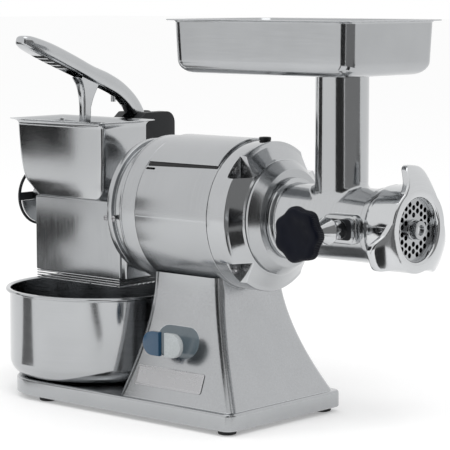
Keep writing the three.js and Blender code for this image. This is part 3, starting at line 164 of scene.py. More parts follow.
def makeFinish(name, colour, roughness, metal=1.0, style="cast", pitch=1.2, depth=0.02, swing=0.08,
               shade=0.12, wave=0.0, edgeHighlight=0.25, coat=0.0, centre=None, gloss=0.5):
    # pitch and depth are the grain's spacing and height and wave the slow swell's, in millimetres
    material, tree = bareMaterial(name)
    shader = addNode(tree, "ShaderNodeBsdfPrincipled")
    output = addNode(tree, "ShaderNodeOutputMaterial", None, Surface=shader.outputs[0])
    output.location = (300, 0)
    grain, local = grainVector(tree, style, centre or origin)
    fine = noise(tree, grain, 1000 / pitch, 3.0)
    cloud = noise(tree, local, 22.0, 2.0)
    dark = tuple(channel * (1 - shade) for channel in colour)
    light = tuple(min(1.0, channel * (1 + shade * 0.5)) for channel in colour)
    blend = mathNode(tree, "ADD", mathNode(tree, "MULTIPLY", fine, 0.55),
                     mathNode(tree, "MULTIPLY", cloud, 0.45))
    body = mixColour(tree, ranged(tree, blend, 0.35, 0.65, 0.0, 1.0), dark, light)
    geometry = addNode(tree, "ShaderNodeNewGeometry")
    # The Bevel normal finds rounded edges, and there the colour is mixed towards a lighter tone: a painted
    # highlight along every edge, its strength set per finish.
    bevelNormal = addNode(tree, "ShaderNodeBevel", {"samples": 4}, Radius=0.0011)
    facing = addNode(tree, "ShaderNodeVectorMath", {"operation": "DOT_PRODUCT"},
                     i0=bevelNormal.outputs[0], i1=geometry.outputs["Normal"]).outputs["Value"]
    edge = ranged(tree, facing, 0.99, 0.9, 0.0, edgeHighlight)
    highlightColour = tuple(min(1.0, channel * 1.6 + 0.05) for channel in colour)
    tree.links.new(mixColour(tree, edge, body, highlightColour), shader.inputs["Base Color"])
    rough = ranged(tree, fine, 0.3, 0.7, max(0.03, roughness - swing / 2), roughness + swing / 2)
    patched = mathNode(tree, "ADD", rough, ranged(tree, cloud, 0.3, 0.7, -swing / 4, swing / 4))
    tree.links.new(patched, shader.inputs["Roughness"])
    shader.inputs["Metallic"].default_value = metal
    shader.inputs["Coat Weight"].default_value = coat
    shader.inputs["Coat Roughness"].default_value = 0.12
    shader.inputs["Specular IOR Level"].default_value = gloss
    bump = addNode(tree, "ShaderNodeBump", None, Strength=1.0, Distance=depth / 1000, Height=fine)
    if wave:
        swell = noise(tree, local, 34.0, 1.0)
        bump = addNode(tree, "ShaderNodeBump", None, Strength=1.0, Distance=wave / 1000, Height=swell,
                       Normal=bump.outputs[0])
    tree.links.new(bump.outputs[0], shader.inputs["Normal"])
    return material


# In each look, the edge setting is the strength of the painted highlight along rounded edges.
looks = {
    "castBase": dict(colour=(0.43, 0.44, 0.45), roughness=0.20, pitch=2.2, depth=0.003, wave=0.04, shade=0.06,
                     edgeHighlight=0.7),
    "polishedCasting": dict(colour=(0.47, 0.48, 0.49), roughness=0.13, pitch=1.6, depth=0.002, wave=0.04,
                            shade=0.05, edgeHighlight=0.7),
    "turnedMotor": dict(colour=(0.44, 0.45, 0.46), roughness=0.22, style="turned-x", pitch=1.6, depth=0.0015,
                        wave=0.02, shade=0.03, swing=0.04, edgeHighlight=0.5),
    "turnedHead": dict(colour=(0.58, 0.59, 0.60), roughness=0.12, style="turned-x", pitch=1.2, depth=0.002,
                       wave=0.03, shade=0.05, edgeHighlight=0.6),
    "turnedBarrel": dict(colour=(0.49, 0.50, 0.51), roughness=0.13, style="turned-x", pitch=1.2, depth=0.002,
                         wave=0.03, shade=0.05, edgeHighlight=0.6),
    "brushedPan": dict(colour=(0.43, 0.44, 0.45), roughness=0.15, style="brushed-x", pitch=0.9, depth=0.003,
                       wave=0.03, shade=0.07),
    "brushedPanel": dict(colour=(0.40, 0.41, 0.42), roughness=0.20, style="brushed-z", pitch=0.9, depth=0.004,
                         shade=0.12),
    "spunBowl": dict(colour=(0.45, 0.46, 0.47), roughness=0.13, style="turned-z", pitch=1.2, depth=0.002,
                     wave=0.03, shade=0.06, centre=place((-256, 0, 0))),
    "brightSteel": dict(colour=(0.55, 0.56, 0.57), roughness=0.12, pitch=0.8, depth=0.002, shade=0.05),
    "plateSteel": dict(colour=(0.42, 0.43, 0.44), roughness=0.16, style="turned-x", pitch=0.6, depth=0.003),
    "screwSteel": dict(colour=(0.36, 0.36, 0.37), roughness=0.22, pitch=0.6, depth=0.003),
    "gearSteel": dict(colour=(0.42, 0.43, 0.44), roughness=0.3, style="turned-x", pitch=1.0, depth=0.01),
    "darkSteel": dict(colour=(0.16, 0.17, 0.18), roughness=0.42, style="brushed-y", pitch=0.8, depth=0.02),
    "copperWire": dict(colour=(0.55, 0.22, 0.09), roughness=0.32, style="turned-x", pitch=0.8, depth=0.05),
    "bronze": dict(colour=(0.52, 0.34, 0.12), roughness=0.3, style="turned-x", pitch=1.0, depth=0.01),
    "blackPlastic": dict(colour=(0.010, 0.011, 0.013), roughness=0.42, metal=0.0, pitch=0.9, depth=0.02,
                         shade=0.3, edgeHighlight=0.12, gloss=0.25),
    "knobPlastic": dict(colour=(0.003, 0.004, 0.009), roughness=0.34, metal=0.0, pitch=0.9, depth=0.008,
                        shade=0.3, edgeHighlight=0.1, gloss=0.1),
    "blackRubber": dict(colour=(0.010, 0.010, 0.011), roughness=0.7, metal=0.0, pitch=0.7, depth=0.03,
                        shade=0.3, edgeHighlight=0.1),
    "greyBoot": dict(colour=(0.03, 0.05, 0.075), roughness=0.2, metal=0.0, pitch=1.4, depth=0.008, shade=0.2,
                     edgeHighlight=0.6, coat=0.5),
    "bootCollar": dict(colour=(0.10, 0.13, 0.15), roughness=0.2, metal=0.0, pitch=1.4, depth=0.008, shade=0.15,
                       edgeHighlight=0.8, coat=0.5),
    "bluePlastic": dict(colour=(0.014, 0.06, 0.12), roughness=0.2, metal=0.0, pitch=1.2, depth=0.01, coat=0.4),
    "palePlastic": dict(colour=(0.42, 0.45, 0.46), roughness=0.26, metal=0.0, pitch=1.2, depth=0.01, coat=0.3),
    "labelSheet": dict(colour=(0.46, 0.46, 0.47), roughness=0.30, metal=0.8, pitch=2.4, depth=0.001,
                       shade=0.03),
}
finishes = {name: makeFinish(name, **look) for name, look in looks.items()}

slotFinish = {
    "cast_aluminium": "castBase", "polished_aluminium": "polishedCasting", "brushed_steel": "brushedPan",
    "bright_steel": "brightSteel", "gear_steel": "gearSteel", "dark_steel": "darkSteel", "copper": "copperWire",
    "bronze": "bronze", "black_plastic": "blackPlastic", "black_rubber": "blackRubber",
    "grey_plastic": "greyBoot", "blue_plastic": "bluePlastic", "pale_plastic": "palePlastic",
}
nodeSlot = {part["node"]: part["material_slot"] for part in frame["record"]["subparts"]}
for nodeName, nodeObject in frame["nodes"].items():
    nodeObject.data.materials.clear()
    nodeObject.data.materials.append(finishes[slotFinish[nodeSlot[nodeName]]])
print("finishes made:", len(finishes))


def softened(corners, steps=4):  # rounds the corners of a closed outline: (a, b) or (a, b, fillet)
    points = []
    for i, corner in enumerate(corners):
        here = Vector(corner[:2])
        fillet = corner[2] if len(corner) > 2 else 0
        before = Vector(corners[i - 1][:2]) - here
        after = Vector(corners[(i + 1) % len(corners)][:2]) - here
        if not fillet or before.length < 1e-6 or after.length < 1e-6:
            points.append((here.x, here.y))
            continue
        half = before.angle(after) / 2
        if half > math.pi / 2 - 0.02:
            points.append((here.x, here.y))
            continue
        run = min(fillet / math.tan(half), before.length * 0.48, after.length * 0.48)
        radius = run * math.tan(half)
        before.normalize()
        after.normalize()
        centre = here + (before + after).normalized() * (radius / math.sin(half))
        start, end = here + before * run - centre, here + after * run - centre
        sweep = start.angle(end)
        for k in range(steps + 1):
            t = k / steps
            point = centre + (start * math.sin((1 - t) * sweep) + end * math.sin(t * sweep)) / math.sin(sweep)
            points.append((point.x, point.y))
    return points


def roundRect(xRange, yRange, radii, steps=6):
    if not isinstance(radii, (tuple, list)):
        radii = [radii] * 4
    (x0, x1), (y0, y1) = xRange, yRange
    centres = [(x1 - radii[0], y0 + radii[0], -90), (x1 - radii[1], y1 - radii[1], 0),
               (x0 + radii[2], y1 - radii[2], 90), (x0 + radii[3], y0 + radii[3], 180)]
    loop = []
    for (cx, cy, start), radius in zip(centres, radii):
        for k in range(steps + 1):
            angle = math.radians(start + 90 * k / steps)
            loop.append((cx + radius * math.cos(angle), cy + radius * math.sin(angle)))
    return loop


def levelLoop(xRange, yRange, inset, radii, z, steps=6):  # the same outline lying at a height
    flat = roundRect((xRange[0] + inset, xRange[1] - inset), (yRange[0] + inset, yRange[1] - inset), radii,
                     steps)
    return [(x, y, z) for x, y in flat]


def stadium(length, tall, cx, cy, steps=16):
    radius = tall / 2 - 0.001
    return roundRect((cx - length / 2, cx + length / 2), (cy - tall / 2, cy + tall / 2), radius, steps // 2)


def shrunk(loop, distance):  # moves a closed anticlockwise outline inwards
    result = []
    for i, point in enumerate(loop):
        here = Vector(point)
        j, k = i - 1, (i + 1) % len(loop)
        while (here - Vector(loop[j])).length < 1e-5:
            j -= 1
        while (here - Vector(loop[k])).length < 1e-5:
            k = (k + 1) % len(loop)
        first = (here - Vector(loop[j])).normalized()
        second = (Vector(loop[k]) - here).normalized()
        normal = Vector((-first.y - second.y, first.x + second.x)).normalized()
        stretch = max(0.4, normal.dot(Vector((-first.y, first.x))))
        moved = here + normal * (distance / stretch)
        result.append((moved.x, moved.y))
    return result


def lay(axis, u, v, depth):
    return {"x": (depth, u, v), "y": (u, depth, v), "z": (u, v, depth)}[axis]


def buildPiece(name, points, faces):
    mesh = bpy.data.meshes.new(name)
    mesh.from_pydata([place(point) for point in points], [], faces)
    piece = linked(name, mesh)
    shell = bmesh.new()
    shell.from_mesh(mesh)
    bmesh.ops.remove_doubles(shell, verts=shell.verts, dist=2e-6)
    bmesh.ops.recalc_face_normals(shell, faces=shell.faces)
    shell.to_mesh(mesh)
    shell.free()
    return piece


def turned(name, axis, centre, corners, count=96, steps=4):
    profile = softened(corners, steps)
    rows = len(profile)
    points, faces = [], []
    for k in range(count):
        angle = 2 * math.pi * k / count
        c, s = math.cos(angle), math.sin(angle)
        for along, radius in profile:
            local = {"x": (along, radius * c, radius * s), "y": (radius * s, along, radius * c),
                     "z": (radius * c, radius * s, along)}[axis]
            points.append([a + b for a, b in zip(local, centre)])
    for k in range(count):
        here, there = k * rows, ((k + 1) % count) * rows
        for i in range(rows):
            j = (i + 1) % rows
            if profile[i][1] < 1e-6 and profile[j][1] < 1e-6:
                continue
            faces.append((here + i, here + j, there + j, there + i))
    return buildPiece(name, points, faces)


def skinned(name, loops, wrap=False):
    count = len(loops[0])
    points = [point for loop in loops for point in loop]
    faces = []
    for i in range(len(loops) if wrap else len(loops) - 1):
        a, b = i * count, ((i + 1) % len(loops)) * count
        for j in range(count):
            k = (j + 1) % count
            faces.append((a + j, a + k, b + k, b + j))
    if not wrap:
        last = (len(loops) - 1) * count
        faces.append(tuple(range(count))[::-1])
        faces.append(tuple(range(last, last + count)))
    return buildPiece(name, points, faces)


def pressed(name, loop, axis, start, end, edge=0.0, steps=3, bend=None):
    # an outline pushed through a depth, with rounded edges at both ends
    levels = []
    if edge:
        for k in range(steps + 1):
            angle = math.pi / 2 * k / steps
            levels.append((edge * (1 - math.sin(angle)), edge * (1 - math.cos(angle))))
        levels = [(inset, start + off) for inset, off in levels]
        levels += [(inset, end - (depth - start)) for inset, depth in levels[::-1]]
    else:
        levels = [(0, start), (0, end)]
    loops = []
    for inset, depth in levels:
        flat = shrunk(loop, inset) if inset else loop
        loops.append([bend(u, v, depth) if bend else lay(axis, u, v, depth) for u, v in flat])
    return skinned(name, loops)


def bar(name, xRange, yRange, zRange, corner=0):
    loop = [(xRange[0], yRange[0]), (xRange[1], yRange[0]), (xRange[1], yRange[1]), (xRange[0], yRange[1])]
    return pressed(name, roundRect(xRange, yRange, corner, 4) if corner else loop, "z", *zRange)


def rod(name, axis, start, end, radius, centre=(0, 0, 0), count=48):
    return turned(name, axis, centre, [(start, 0), (start, radius), (end, radius), (end, 0)], count)


def bake(piece):
    graph = bpy.context.evaluated_depsgraph_get()
    mesh = bpy.data.meshes.new_from_object(piece.evaluated_get(graph))
    piece.modifiers.clear()
    piece.data = mesh
    return piece


def combine(piece, tools, operation):
    for tool in tools:
        step = piece.modifiers.new(operation.lower(), "BOOLEAN")
        step.operation = operation
        step.solver = "EXACT"
        step.object = tool
    bake(piece)
    for tool in tools:
        bpy.data.objects.remove(tool)
    return piece


def join(piece, *tools):
    return combine(piece, tools, "UNION")


def carve(piece, *tools):
    return combine(piece, tools, "DIFFERENCE")


def eased(piece, width, angle=35, segments=2):  # rounds the sharp edges of a finished shape
    step = piece.modifiers.new("eased", "BEVEL")
    step.width = width / 1000
    step.segments = segments
    step.limit_method = "ANGLE"
    step.angle_limit = math.radians(angle)
    step.use_clamp_overlap = True
    return bake(piece)


def dress(piece, finishName, body, nodes=(), sharp=32):
    piece.data.materials.clear()
    piece.data.materials.append(finishes[finishName])
    for polygon in piece.data.polygons:
        polygon.material_index = 0
    piece.data.shade_smooth()
    piece.data.set_sharp_from_angle(angle=math.radians(sharp))
    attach(piece, body)
    if nodes:
        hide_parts(*nodes)
    return piece


def sizedTree(name, sizes):  # a Geometry Nodes tree with one named input for each size
    tree = bpy.data.node_groups.new(name, "GeometryNodeTree")
    for key, value in sizes.items():
        kind = "NodeSocketInt" if isinstance(value, int) else "NodeSocketFloat"
        tree.interface.new_socket(name=key, in_out="INPUT", socket_type=kind)
    tree.interface.new_socket(name="shape", in_out="OUTPUT", socket_type="NodeSocketGeometry")
    inputs = tree.nodes.new("NodeGroupInput").outputs
    return tree, {key: inputs[key] for key in sizes}


def grown(name, tree, sizes, shape, finishName, axis="x", centre=(0, 0, 0)):
    # the tree's own z runs along the axis, and its millimetres are set down from the centre
    whole = realized(tree, shape)
    painted = addNode(tree, "GeometryNodeSetMaterial", None, Geometry=whole, Material=finishes[finishName])
    addNode(tree, "NodeGroupOutput", None, i0=painted.outputs[0])
    piece = linked(name, bpy.data.meshes.new(name))
    grower = piece.modifiers.new("grower", "NODES")
    grower.node_group = tree
    for item in tree.interface.items_tree:
        if item.in_out == "INPUT":
            grower[item.identifier] = sizes[item.name]
    bake(piece)
    turn = {"x": ((0, 0, 1), (1, 0, 0), (0, 1, 0)), "y": ((0, 1, 0), (0, 0, 1), (1, 0, 0)),
            "z": ((1, 0, 0), (0, 1, 0), (0, 0, 1)), "-x": ((0, 0, -1), (0, 1, 0), (1, 0, 0)),
            "-y": ((1, 0, 0), (0, 0, -1), (0, 1, 0)), "-z": ((1, 0, 0), (0, -1, 0), (0, 0, -1))}[axis]
    start = place(centre)
    rows = [(*[value / 1000 for value in turn[i]], start[i]) for i in range(3)]
    piece.data.transform(Matrix([*rows, (0, 0, 0, 1)]))
    return piece


def cylinder(tree, **sizes):
    return made(tree, "GeometryNodeMeshCylinder", None, **sizes)


def copies(tree, **facts):
    return made(tree, "GeometryNodeInstanceOnPoints", None, **facts)


def realized(tree, shape):
    return made(tree, "GeometryNodeRealizeInstances", None, Geometry=shape)


def placed(tree, shape, y=0.0, z=0.0, scale=(1, 1, 1)):
    spot = vector(tree, Y=y, Z=z)
    return made(tree, "GeometryNodeTransform", None, Geometry=shape, Translation=spot,
                Scale=scale)


def cutAway(tree, shape, tool):
    return made(tree, "GeometryNodeMeshBoolean", {"operation": "DIFFERENCE"}, i0=shape, i1=tool)


def screwHead(tree, size):  # a domed head with a cross slot, on a washer
    dome = made(tree, "GeometryNodeMeshUVSphere", None, Segments=24, Rings=12, Radius=size["headRadius"])
    dome = placed(tree, dome, scale=(1, 1, 0.62))
    block = made(tree, "GeometryNodeMeshCube", None, Size=(60, 60, 60))
    dome = cutAway(tree, dome, placed(tree, block, z=-30.0))
    reach = vector(tree, X=size["headRadius"], Y=size["headRadius"],
                   Z=size["slotDepth"])
    top = vector(tree, Z=mathNode(tree, "MULTIPLY", size["headRadius"], 0.62))
    for along, across in ((1.3, 0.26), (0.26, 1.3)):
        slot = made(tree, "GeometryNodeMeshCube", None, Size=(along, across, 1.0))
        slot = made(tree, "GeometryNodeTransform", None, Geometry=slot, Scale=reach, Translation=top)
        dome = cutAway(tree, dome, slot)
    washer = cylinder(tree, Vertices=24, Radius=size["washerRadius"],
                      Depth=size["washerThick"])
    both = addNode(tree, "GeometryNodeMeshBoolean", {"operation": "UNION"}, i1=dome)
    tree.links.new(washer, both.inputs[1])
    return both.outputs[0]


def screwRing(name, sizes, finishName, axis, centre):
    tree, size = sizedTree(name, sizes)
    ring = made(tree, "GeometryNodeMeshCircle", None, Vertices=size["count"], Radius=size["ringRadius"])
    ring = made(tree, "GeometryNodeTransform", None, Geometry=ring, Rotation=vector(tree, Z=size["firstAngle"]))
    heads = copies(tree, Points=ring, Instance=screwHead(tree, size))
    return grown(name, tree, sizes, heads, finishName, axis, centre)


def screwRow(name, sizes, finishName, axis, centre):
    tree, size = sizedTree(name, sizes)
    row = made(tree, "GeometryNodeMeshLine", None, Count=size["count"], Offset=vector(tree, X=size["pitch"]))
    heads = copies(tree, Points=row, Instance=screwHead(tree, size))
    return grown(name, tree, sizes, heads, finishName, axis, centre)


# the stand: slab, flared column, feet and bare plate
slabX, slabY, slabZ = span("base_casting")
slabBottom = slabZ[0]
slab = {"thickness": 20, "tail": 60, "nose": 12, "edge": 3, "recess": 2.4}
slabTop = slabBottom + slab["thickness"]
pedestal = {"top": -70, "behind": 112, "ahead": -7, "half": 59, "footBehind": 135, "footAhead": 44,
            "footHalf": 96, "corner": 13, "flare": 1.7}
motorRadius = (casingHigh.y - casingLow.y) * 500  # half the width in metres, in millimetres


def flareAt(z):
    share = (pedestal["top"] - z) / (pedestal["top"] - slabTop)
    return min(max(share, 0), 1.02) ** pedestal["flare"]


def pedestalHalf(z):
    return mix(pedestal["half"], pedestal["footHalf"], flareAt(z))


def pedestalShell(name, grow=0.0, levels=26):
    low = slabTop - 2
    loops = []
    for i in range(levels + 1):
        z = mix(low, pedestal["top"], (i / levels) ** 1.25)
        spread = flareAt(z)
        left = mix(pedestal["behind"], pedestal["footBehind"], spread) + grow
        right = mix(pedestal["ahead"], pedestal["footAhead"], spread) + grow
        half = mix(pedestal["half"], pedestal["footHalf"], spread) + grow
        loops.append(levelLoop((-left, right), (-half, half), 0, pedestal["corner"] + grow, z, 9))
    return skinned(name, loops)


def slabLoop(inset):
    tail, nose = slab["tail"] - inset, slab["nose"] - inset
    return roundRect((slabX[0] + inset, slabX[1] - inset), (slabY[0] + inset, slabY[1] - inset),
                     [nose, nose, tail, tail], 10)


switch = {"x": -58.5, "z": slabBottom - 6 + 94, "collar": (80, 41), "boot": (66, 35), "rim": 3.0,
          "divider": 8, "depth": 12, "collarBehind": 17}
switchAt = (switch["x"], switch["z"])
bootLong, bootTall = switch["boot"]
switchFace = pedestalHalf(switch["z"])

levels = [(1.0, slabBottom), (0.0, slabBottom + 1)]
levels += [(slab["edge"] * (1 - math.cos(a)), slabTop - slab["edge"] * (1 - math.sin(a)))
           for a in (math.pi / 2 * k / 6 for k in range(7))]
baseCasting = skinned("baseCasting", [[(x, y, z) for x, y in slabLoop(inset)] for inset, z in levels])
join(baseCasting, pedestalShell("pedestal"))
carve(baseCasting,
      rod("saddle", "x", slabX[0], slabX[1], motorRadius + 0.3, count=128),
      pressed("bootHole", stadium(bootLong + 0.8, bootTall + 0.8, *switchAt), "y", -110, -switchFace + 40),
      pressed("underside", slabLoop(5.0), "z", slabBottom - 1, slabBottom + slab["recess"]))
dress(baseCasting, "castBase", "base", ["base_casting"])

for number, footName in enumerate(["foot_rear_right", "foot_rear_left", "foot_front_right", "foot_front_left"]):
    (x0, x1), (y0, y1), (z0, z1) = span(footName)
    radius = (x1 - x0) / 2
    foot = turned(f"rubberFoot{number + 1}", "z", ((x0 + x1) / 2, (y0 + y1) / 2, z0),
                  [(0, 0), (0, radius - 3, 0.6), (0.8, radius - 0.6, 1.0), (z1 - z0, radius, 0.4),
                   (z1 - z0, 0)], 48)
    dress(foot, "blackRubber", "base", [footName])

plate = span("label_plate")
labelOutline = roundRect(plate[0], plate[2], 2.5, 5)


def onColumn(u, v, depth):  # off the column's flared face
    return (u, -pedestalHalf(v) - depth, v)


labelPlate = pressed("labelPlate", labelOutline, "y", 0.3, 1.1, 0.25, 2, onColumn)
carve(labelPlate, pressed("labelField", shrunk(labelOutline, 2.0), "y", 0.85, 3.0, bend=onColumn))
dress(labelPlate, "labelSheet", "base", ["label_plate"])
print("base made")

# the switch on the column's front
collarFront = span("switch_collar")[1][0]
bootFront = span("switch_body")[1][0]
collarLip = bootFront + switch["collarBehind"]
collarLevels = [(6.0, collarLip + 0.1), (4.6, collarLip), (3.7, collarLip + 0.6), (3.2, collarLip + 1.8),
                (0.7, collarFront - 0.5), (0.0, collarFront + 1.5), (0.0, -pedestal["half"])]
collarOutline = stadium(*switch["collar"], *switchAt, 24)
collar = skinned("switchCollar", [[(x, y, z) for x, z in shrunk(collarOutline, inset)]
                                  for inset, y in collarLevels])
carve(collar, pedestalShell("pedestalCut", 0.15),
      pressed("collarHole", stadium(bootLong + 0.6, bootTall + 0.6, *switchAt, 24), "y", collarLip - 2, 0),
      pressed("collarGap", stadium(bootLong + 5, bootTall + 2.4, *switchAt, 24), "y", collarLip - 2,
              collarLip + 7))
dress(collar, "bootCollar", "base", ["switch_collar"])


def buttonOutline(side, inset):
    radius = bootTall / 2 - inset
    run = bootLong / 2 - bootTall / 2
    edge = switch["divider"] / 2 + inset - switch["rim"]
    arc = [(switch["x"] + run + radius * math.cos(a), switch["z"] + radius * math.sin(a))
           for a in (math.radians(-90 + 180 * k / 16) for k in range(17))]
    loop = [(switch["x"] + edge, switch["z"] - radius), *arc, (switch["x"] + edge, switch["z"] + radius)]
    if side < 0:
        loop = [(2 * switch["x"] - x, z) for x, z in loop][::-1]
    return loop


boot = pressed("switchBoot", stadium(*switch["boot"], *switchAt, 24), "y", bootFront, bootFront + 50, 2.6, 5)
carve(boot, *[pressed(f"pocket{side}", buttonOutline(side, switch["rim"]), "y", bootFront - 1,
                      bootFront + switch["depth"]) for side in (-1, 1)])
dress(boot, "greyBoot", "base", ["switch_body"])
for side, pieceName, body, node, finishName, slotName in (
        (-1, "stopButton", "stop", "stop_button", "bluePlastic", "blue_plastic"),
        (1, "startButton", "start", "start_button", "palePlastic", "pale_plastic")):
    front, back = span(node)[1]
    button = pressed(pieceName, buttonOutline(side, switch["rim"] + 0.4), "y", front, back, 1.0, 3)
    dress(button, finishName, body, [node])
print("switch made")

# the motor's jacket and rear cap
motorBack = span("motor_casing")[0][0]
motor = {"wall": 4, "coverHalf": 47, "coverThick": 2.0, "louvre": ((-110, -96), (-86, -60), (51.6, 54.0))}
casing = turned("motorCasing", "x", (0, 0, 0),
                [(motorBack, motorRadius - motor["wall"]), (motorBack, motorRadius, 0.5),
                 (-0.3, motorRadius, 0.5), (-0.3, motorRadius - motor["wall"])], 160)
louvre = bar("louvre", *motor["louvre"])
seams = [bar(f"seam{side}", (motorBack - 1, 1), sorted((side * (motorRadius - 0.6), side * (motorRadius + 2))),
             (-2.4, -1.6)) for side in (-1, 1)]
carve(casing, louvre, *seams)
dress(casing, "turnedMotor", "base", ["motor_casing"])

coverX = span("motor_top_cover")[0]


def coverSection(x, share):
    inner, outer = motorRadius + 0.3, motorRadius + 0.3 + motor["coverThick"]
    half = motor["coverHalf"]
    angles = [math.radians(90 - half + 2 * half * k / 64) for k in range(65)]
    rim = [(outer - 0.6 * share, a) for a in angles] + [(inner, a) for a in angles[::-1]]
    return [(x, radius * math.cos(a), radius * math.sin(a)) for radius, a in rim]


topCover = skinned("motorTopCover", [coverSection(coverX[0], 1), coverSection(coverX[0] + 0.6, 0),
                                     coverSection(coverX[1] - 0.6, 0), coverSection(coverX[1], 1)])
dress(topCover, "turnedMotor", "base", ["motor_top_cover"])


# The black strip under the cover's hem is a painted shadow. It stands in for the shaded gap between the hem and
# the casing, in the rubber finish.
def hemShadowSection(x, share, side):  # the black strip under the cover's hem, wider towards the grater
    first = math.radians(motor["coverHalf"] - 0.2)
    last = math.radians(motor["coverHalf"] + mix(3.4, 1.8, share))
    inner, outer = motorRadius + 0.05, motorRadius + 1.3
    rim = [(inner, first), (outer, first), (outer, mix(first, last, 0.7)), (inner, last)]
    return [(x, -side * radius * math.sin(a), radius * math.cos(a)) for radius, a in rim]


for side in (-1, 1):
    strip = skinned(f"coverHemShadow{1 if side > 0 else 2}",
                    [hemShadowSection(mix(coverX[0] + 1, coverX[1] - 1, k / 12), k / 12, side) for k in range(13)])
    dress(strip, "blackRubber", "base")

(capBack, capFront), _, _ = span("rear_end_cap")
cap = {"groove": -133.8, "grooveHalf": 0.4, "grooveDeep": 0.9, "spigot": 82.7, "bore": 76.7, "face": 77,
       "wall": 8, "seat": 27, "seatDeep": 22, "bearing": 20.3, "shaft": 12.5, "shaftDeep": 7}
capFace = motorBack - 0.3
grooveFront, grooveBack = cap["groove"] + cap["grooveHalf"], cap["groove"] - cap["grooveHalf"]
grooveFloor = motorRadius - cap["grooveDeep"]
rearCap = turned("rearEndCap", "x", (0, 0, 0),
                 [(capFront, cap["bore"]), (capFront, cap["spigot"]), (capFace, cap["spigot"]),
                  (capFace, motorRadius, 0.5), (grooveFront, motorRadius), (grooveFront, grooveFloor),
                  (grooveBack, grooveFloor), (grooveBack, motorRadius),
                  (cap["groove"] - 4, motorRadius, 4), (capBack, cap["face"], 1.5), (capBack, cap["shaft"]),
                  (capBack + cap["shaftDeep"], cap["shaft"]), (capBack + cap["shaftDeep"], cap["bearing"]),
                  (capBack + cap["seatDeep"], cap["bearing"]), (capBack + cap["seatDeep"], cap["seat"], 1),
                  (capBack + cap["wall"], cap["seat"], 2), (capBack + cap["wall"], cap["bore"], 2)], 160)
dress(rearCap, "turnedMotor", "base", ["rear_end_cap"])
print("motor made")

# the gear housing and the hub in front of it
(gearBack, gearFront), _, _ = span("gear_housing")
housing = {"flange": 27, "pocket": 18, "notch": 48.5, "cone": 68.4, "hub": 66.4, "chamber": 74, "narrow": 55,
           "shaft": 14}
gearHousing = turned("gearHousing", "x", (0, 0, 0),
                     [(gearBack, 0), (gearBack, motorRadius, 0.5), (housing["flange"], motorRadius, 1.6),
                      (housing["flange"] + 2, motorRadius - 5, 3), (gearFront - 2, housing["cone"], 1.5),
                      (gearFront, housing["hub"], 0.5), (gearFront, 0)], 160)
notches = []
for sideY in (-1, 1):
    for sideZ in (-1, 1):
        spanY = sorted((sideY * housing["notch"], sideY * 95))
        spanZ = sorted((sideZ * housing["notch"], sideZ * 95))
        notches.append(bar(f"notch{sideY}{sideZ}", (housing["pocket"], 50), spanY, spanZ))
carve(gearHousing, *notches,
      rod("chamber", "x", gearBack - 1, 10, housing["chamber"], count=96),
      rod("narrow", "x", gearBack, 30, housing["narrow"], count=96),
      rod("shaftHole", "x", 0, 60, housing["shaft"]))
eased(gearHousing, 0.9, 40, 2)
dress(gearHousing, "polishedCasting", "base", ["gear_housing"])

pocketSizes = {"count": 4, "ringRadius": 79.5, "firstAngle": math.pi / 4, "headRadius": 4.4, "slotDepth": 2.6,
               "washerRadius": 6.0, "washerThick": 2.4}
pocketScrews = screwRing("pocketScrews", pocketSizes, "screwSteel", "x", (housing["pocket"], 0, 0))
dress(pocketScrews, "screwSteel", "base")

plugX, _, (plugFoot, plugTop) = span("oil_plug")
plug = {"stud": 6, "head": 7, "socket": 4, "deep": 1.5}
plugSeat = motorRadius + 0.3
oilPlug = turned("oilPlug", "z", ((plugX[0] + plugX[1]) / 2, 0, 0),
                 [(plugFoot, 0), (plugFoot, plug["stud"]), (plugSeat, plug["stud"]),
                  (plugSeat, plug["head"], 0.3),
                  (plugTop, plug["head"], 1.0), (plugTop, plug["socket"]),
                  (plugTop - plug["deep"], plug["socket"] - 0.4, 0.3), (plugTop - plug["deep"], 0)], 48)
dress(oilPlug, "blackPlastic", "base", ["oil_plug"])

(hubBack, hubFront), _, _ = span("head_hub")
hub = {"foot": 66, "face": 56.5, "socket": 36.3}
hubFloor = hubFront - 10
headHub = turned("headHub", "x", (0, 0, 0),
                 [(hubBack, housing["shaft"]), (hubBack, hub["foot"], 0.8), (hubBack + 3, hub["foot"] - 0.6, 2),
                  (hubFront, hub["face"], 1.2), (hubFront, hub["socket"]), (hubFloor, hub["socket"]),
                  (hubFloor, housing["shaft"])], 160)
dress(headHub, "turnedMotor", "base", ["head_hub"])
print("gear housing made")

# the mincing barrel, its clamp and its knob
barrelX, _, barrelZ = span("grinder_barrel")
head = {"barrel": 41.5, "flange": 47, "collar": 43.5, "thread": 43, "collarStart": 184, "nutStart": 192,
        "bore": 35, "neckX": 126, "neck": 30, "neckBore": 26, "saddle": 7, "bossX": 163, "boss": (46, 32),
        "bossFace": -52}
bossFace = head["bossFace"]
flangeX = hubFront + 0.3
barrel = turned("grinderBarrel", "x", (0, 0, 0),
                [(barrelX[0], 0), (barrelX[0], 36), (flangeX, 36), (flangeX, head["flange"], 1.2),
                 (flangeX + 6, head["flange"], 1.8), (flangeX + 6, head["barrel"], 1.5),
                 (head["collarStart"], head["barrel"], 1.5), (head["collarStart"], head["collar"], 1.2),
                 (head["nutStart"] - 0.3, head["collar"], 1.0), (head["nutStart"] - 0.3, head["thread"], 0.2),
                 (barrelX[1], head["thread"], 1.0), (barrelX[1], 0)], 144)


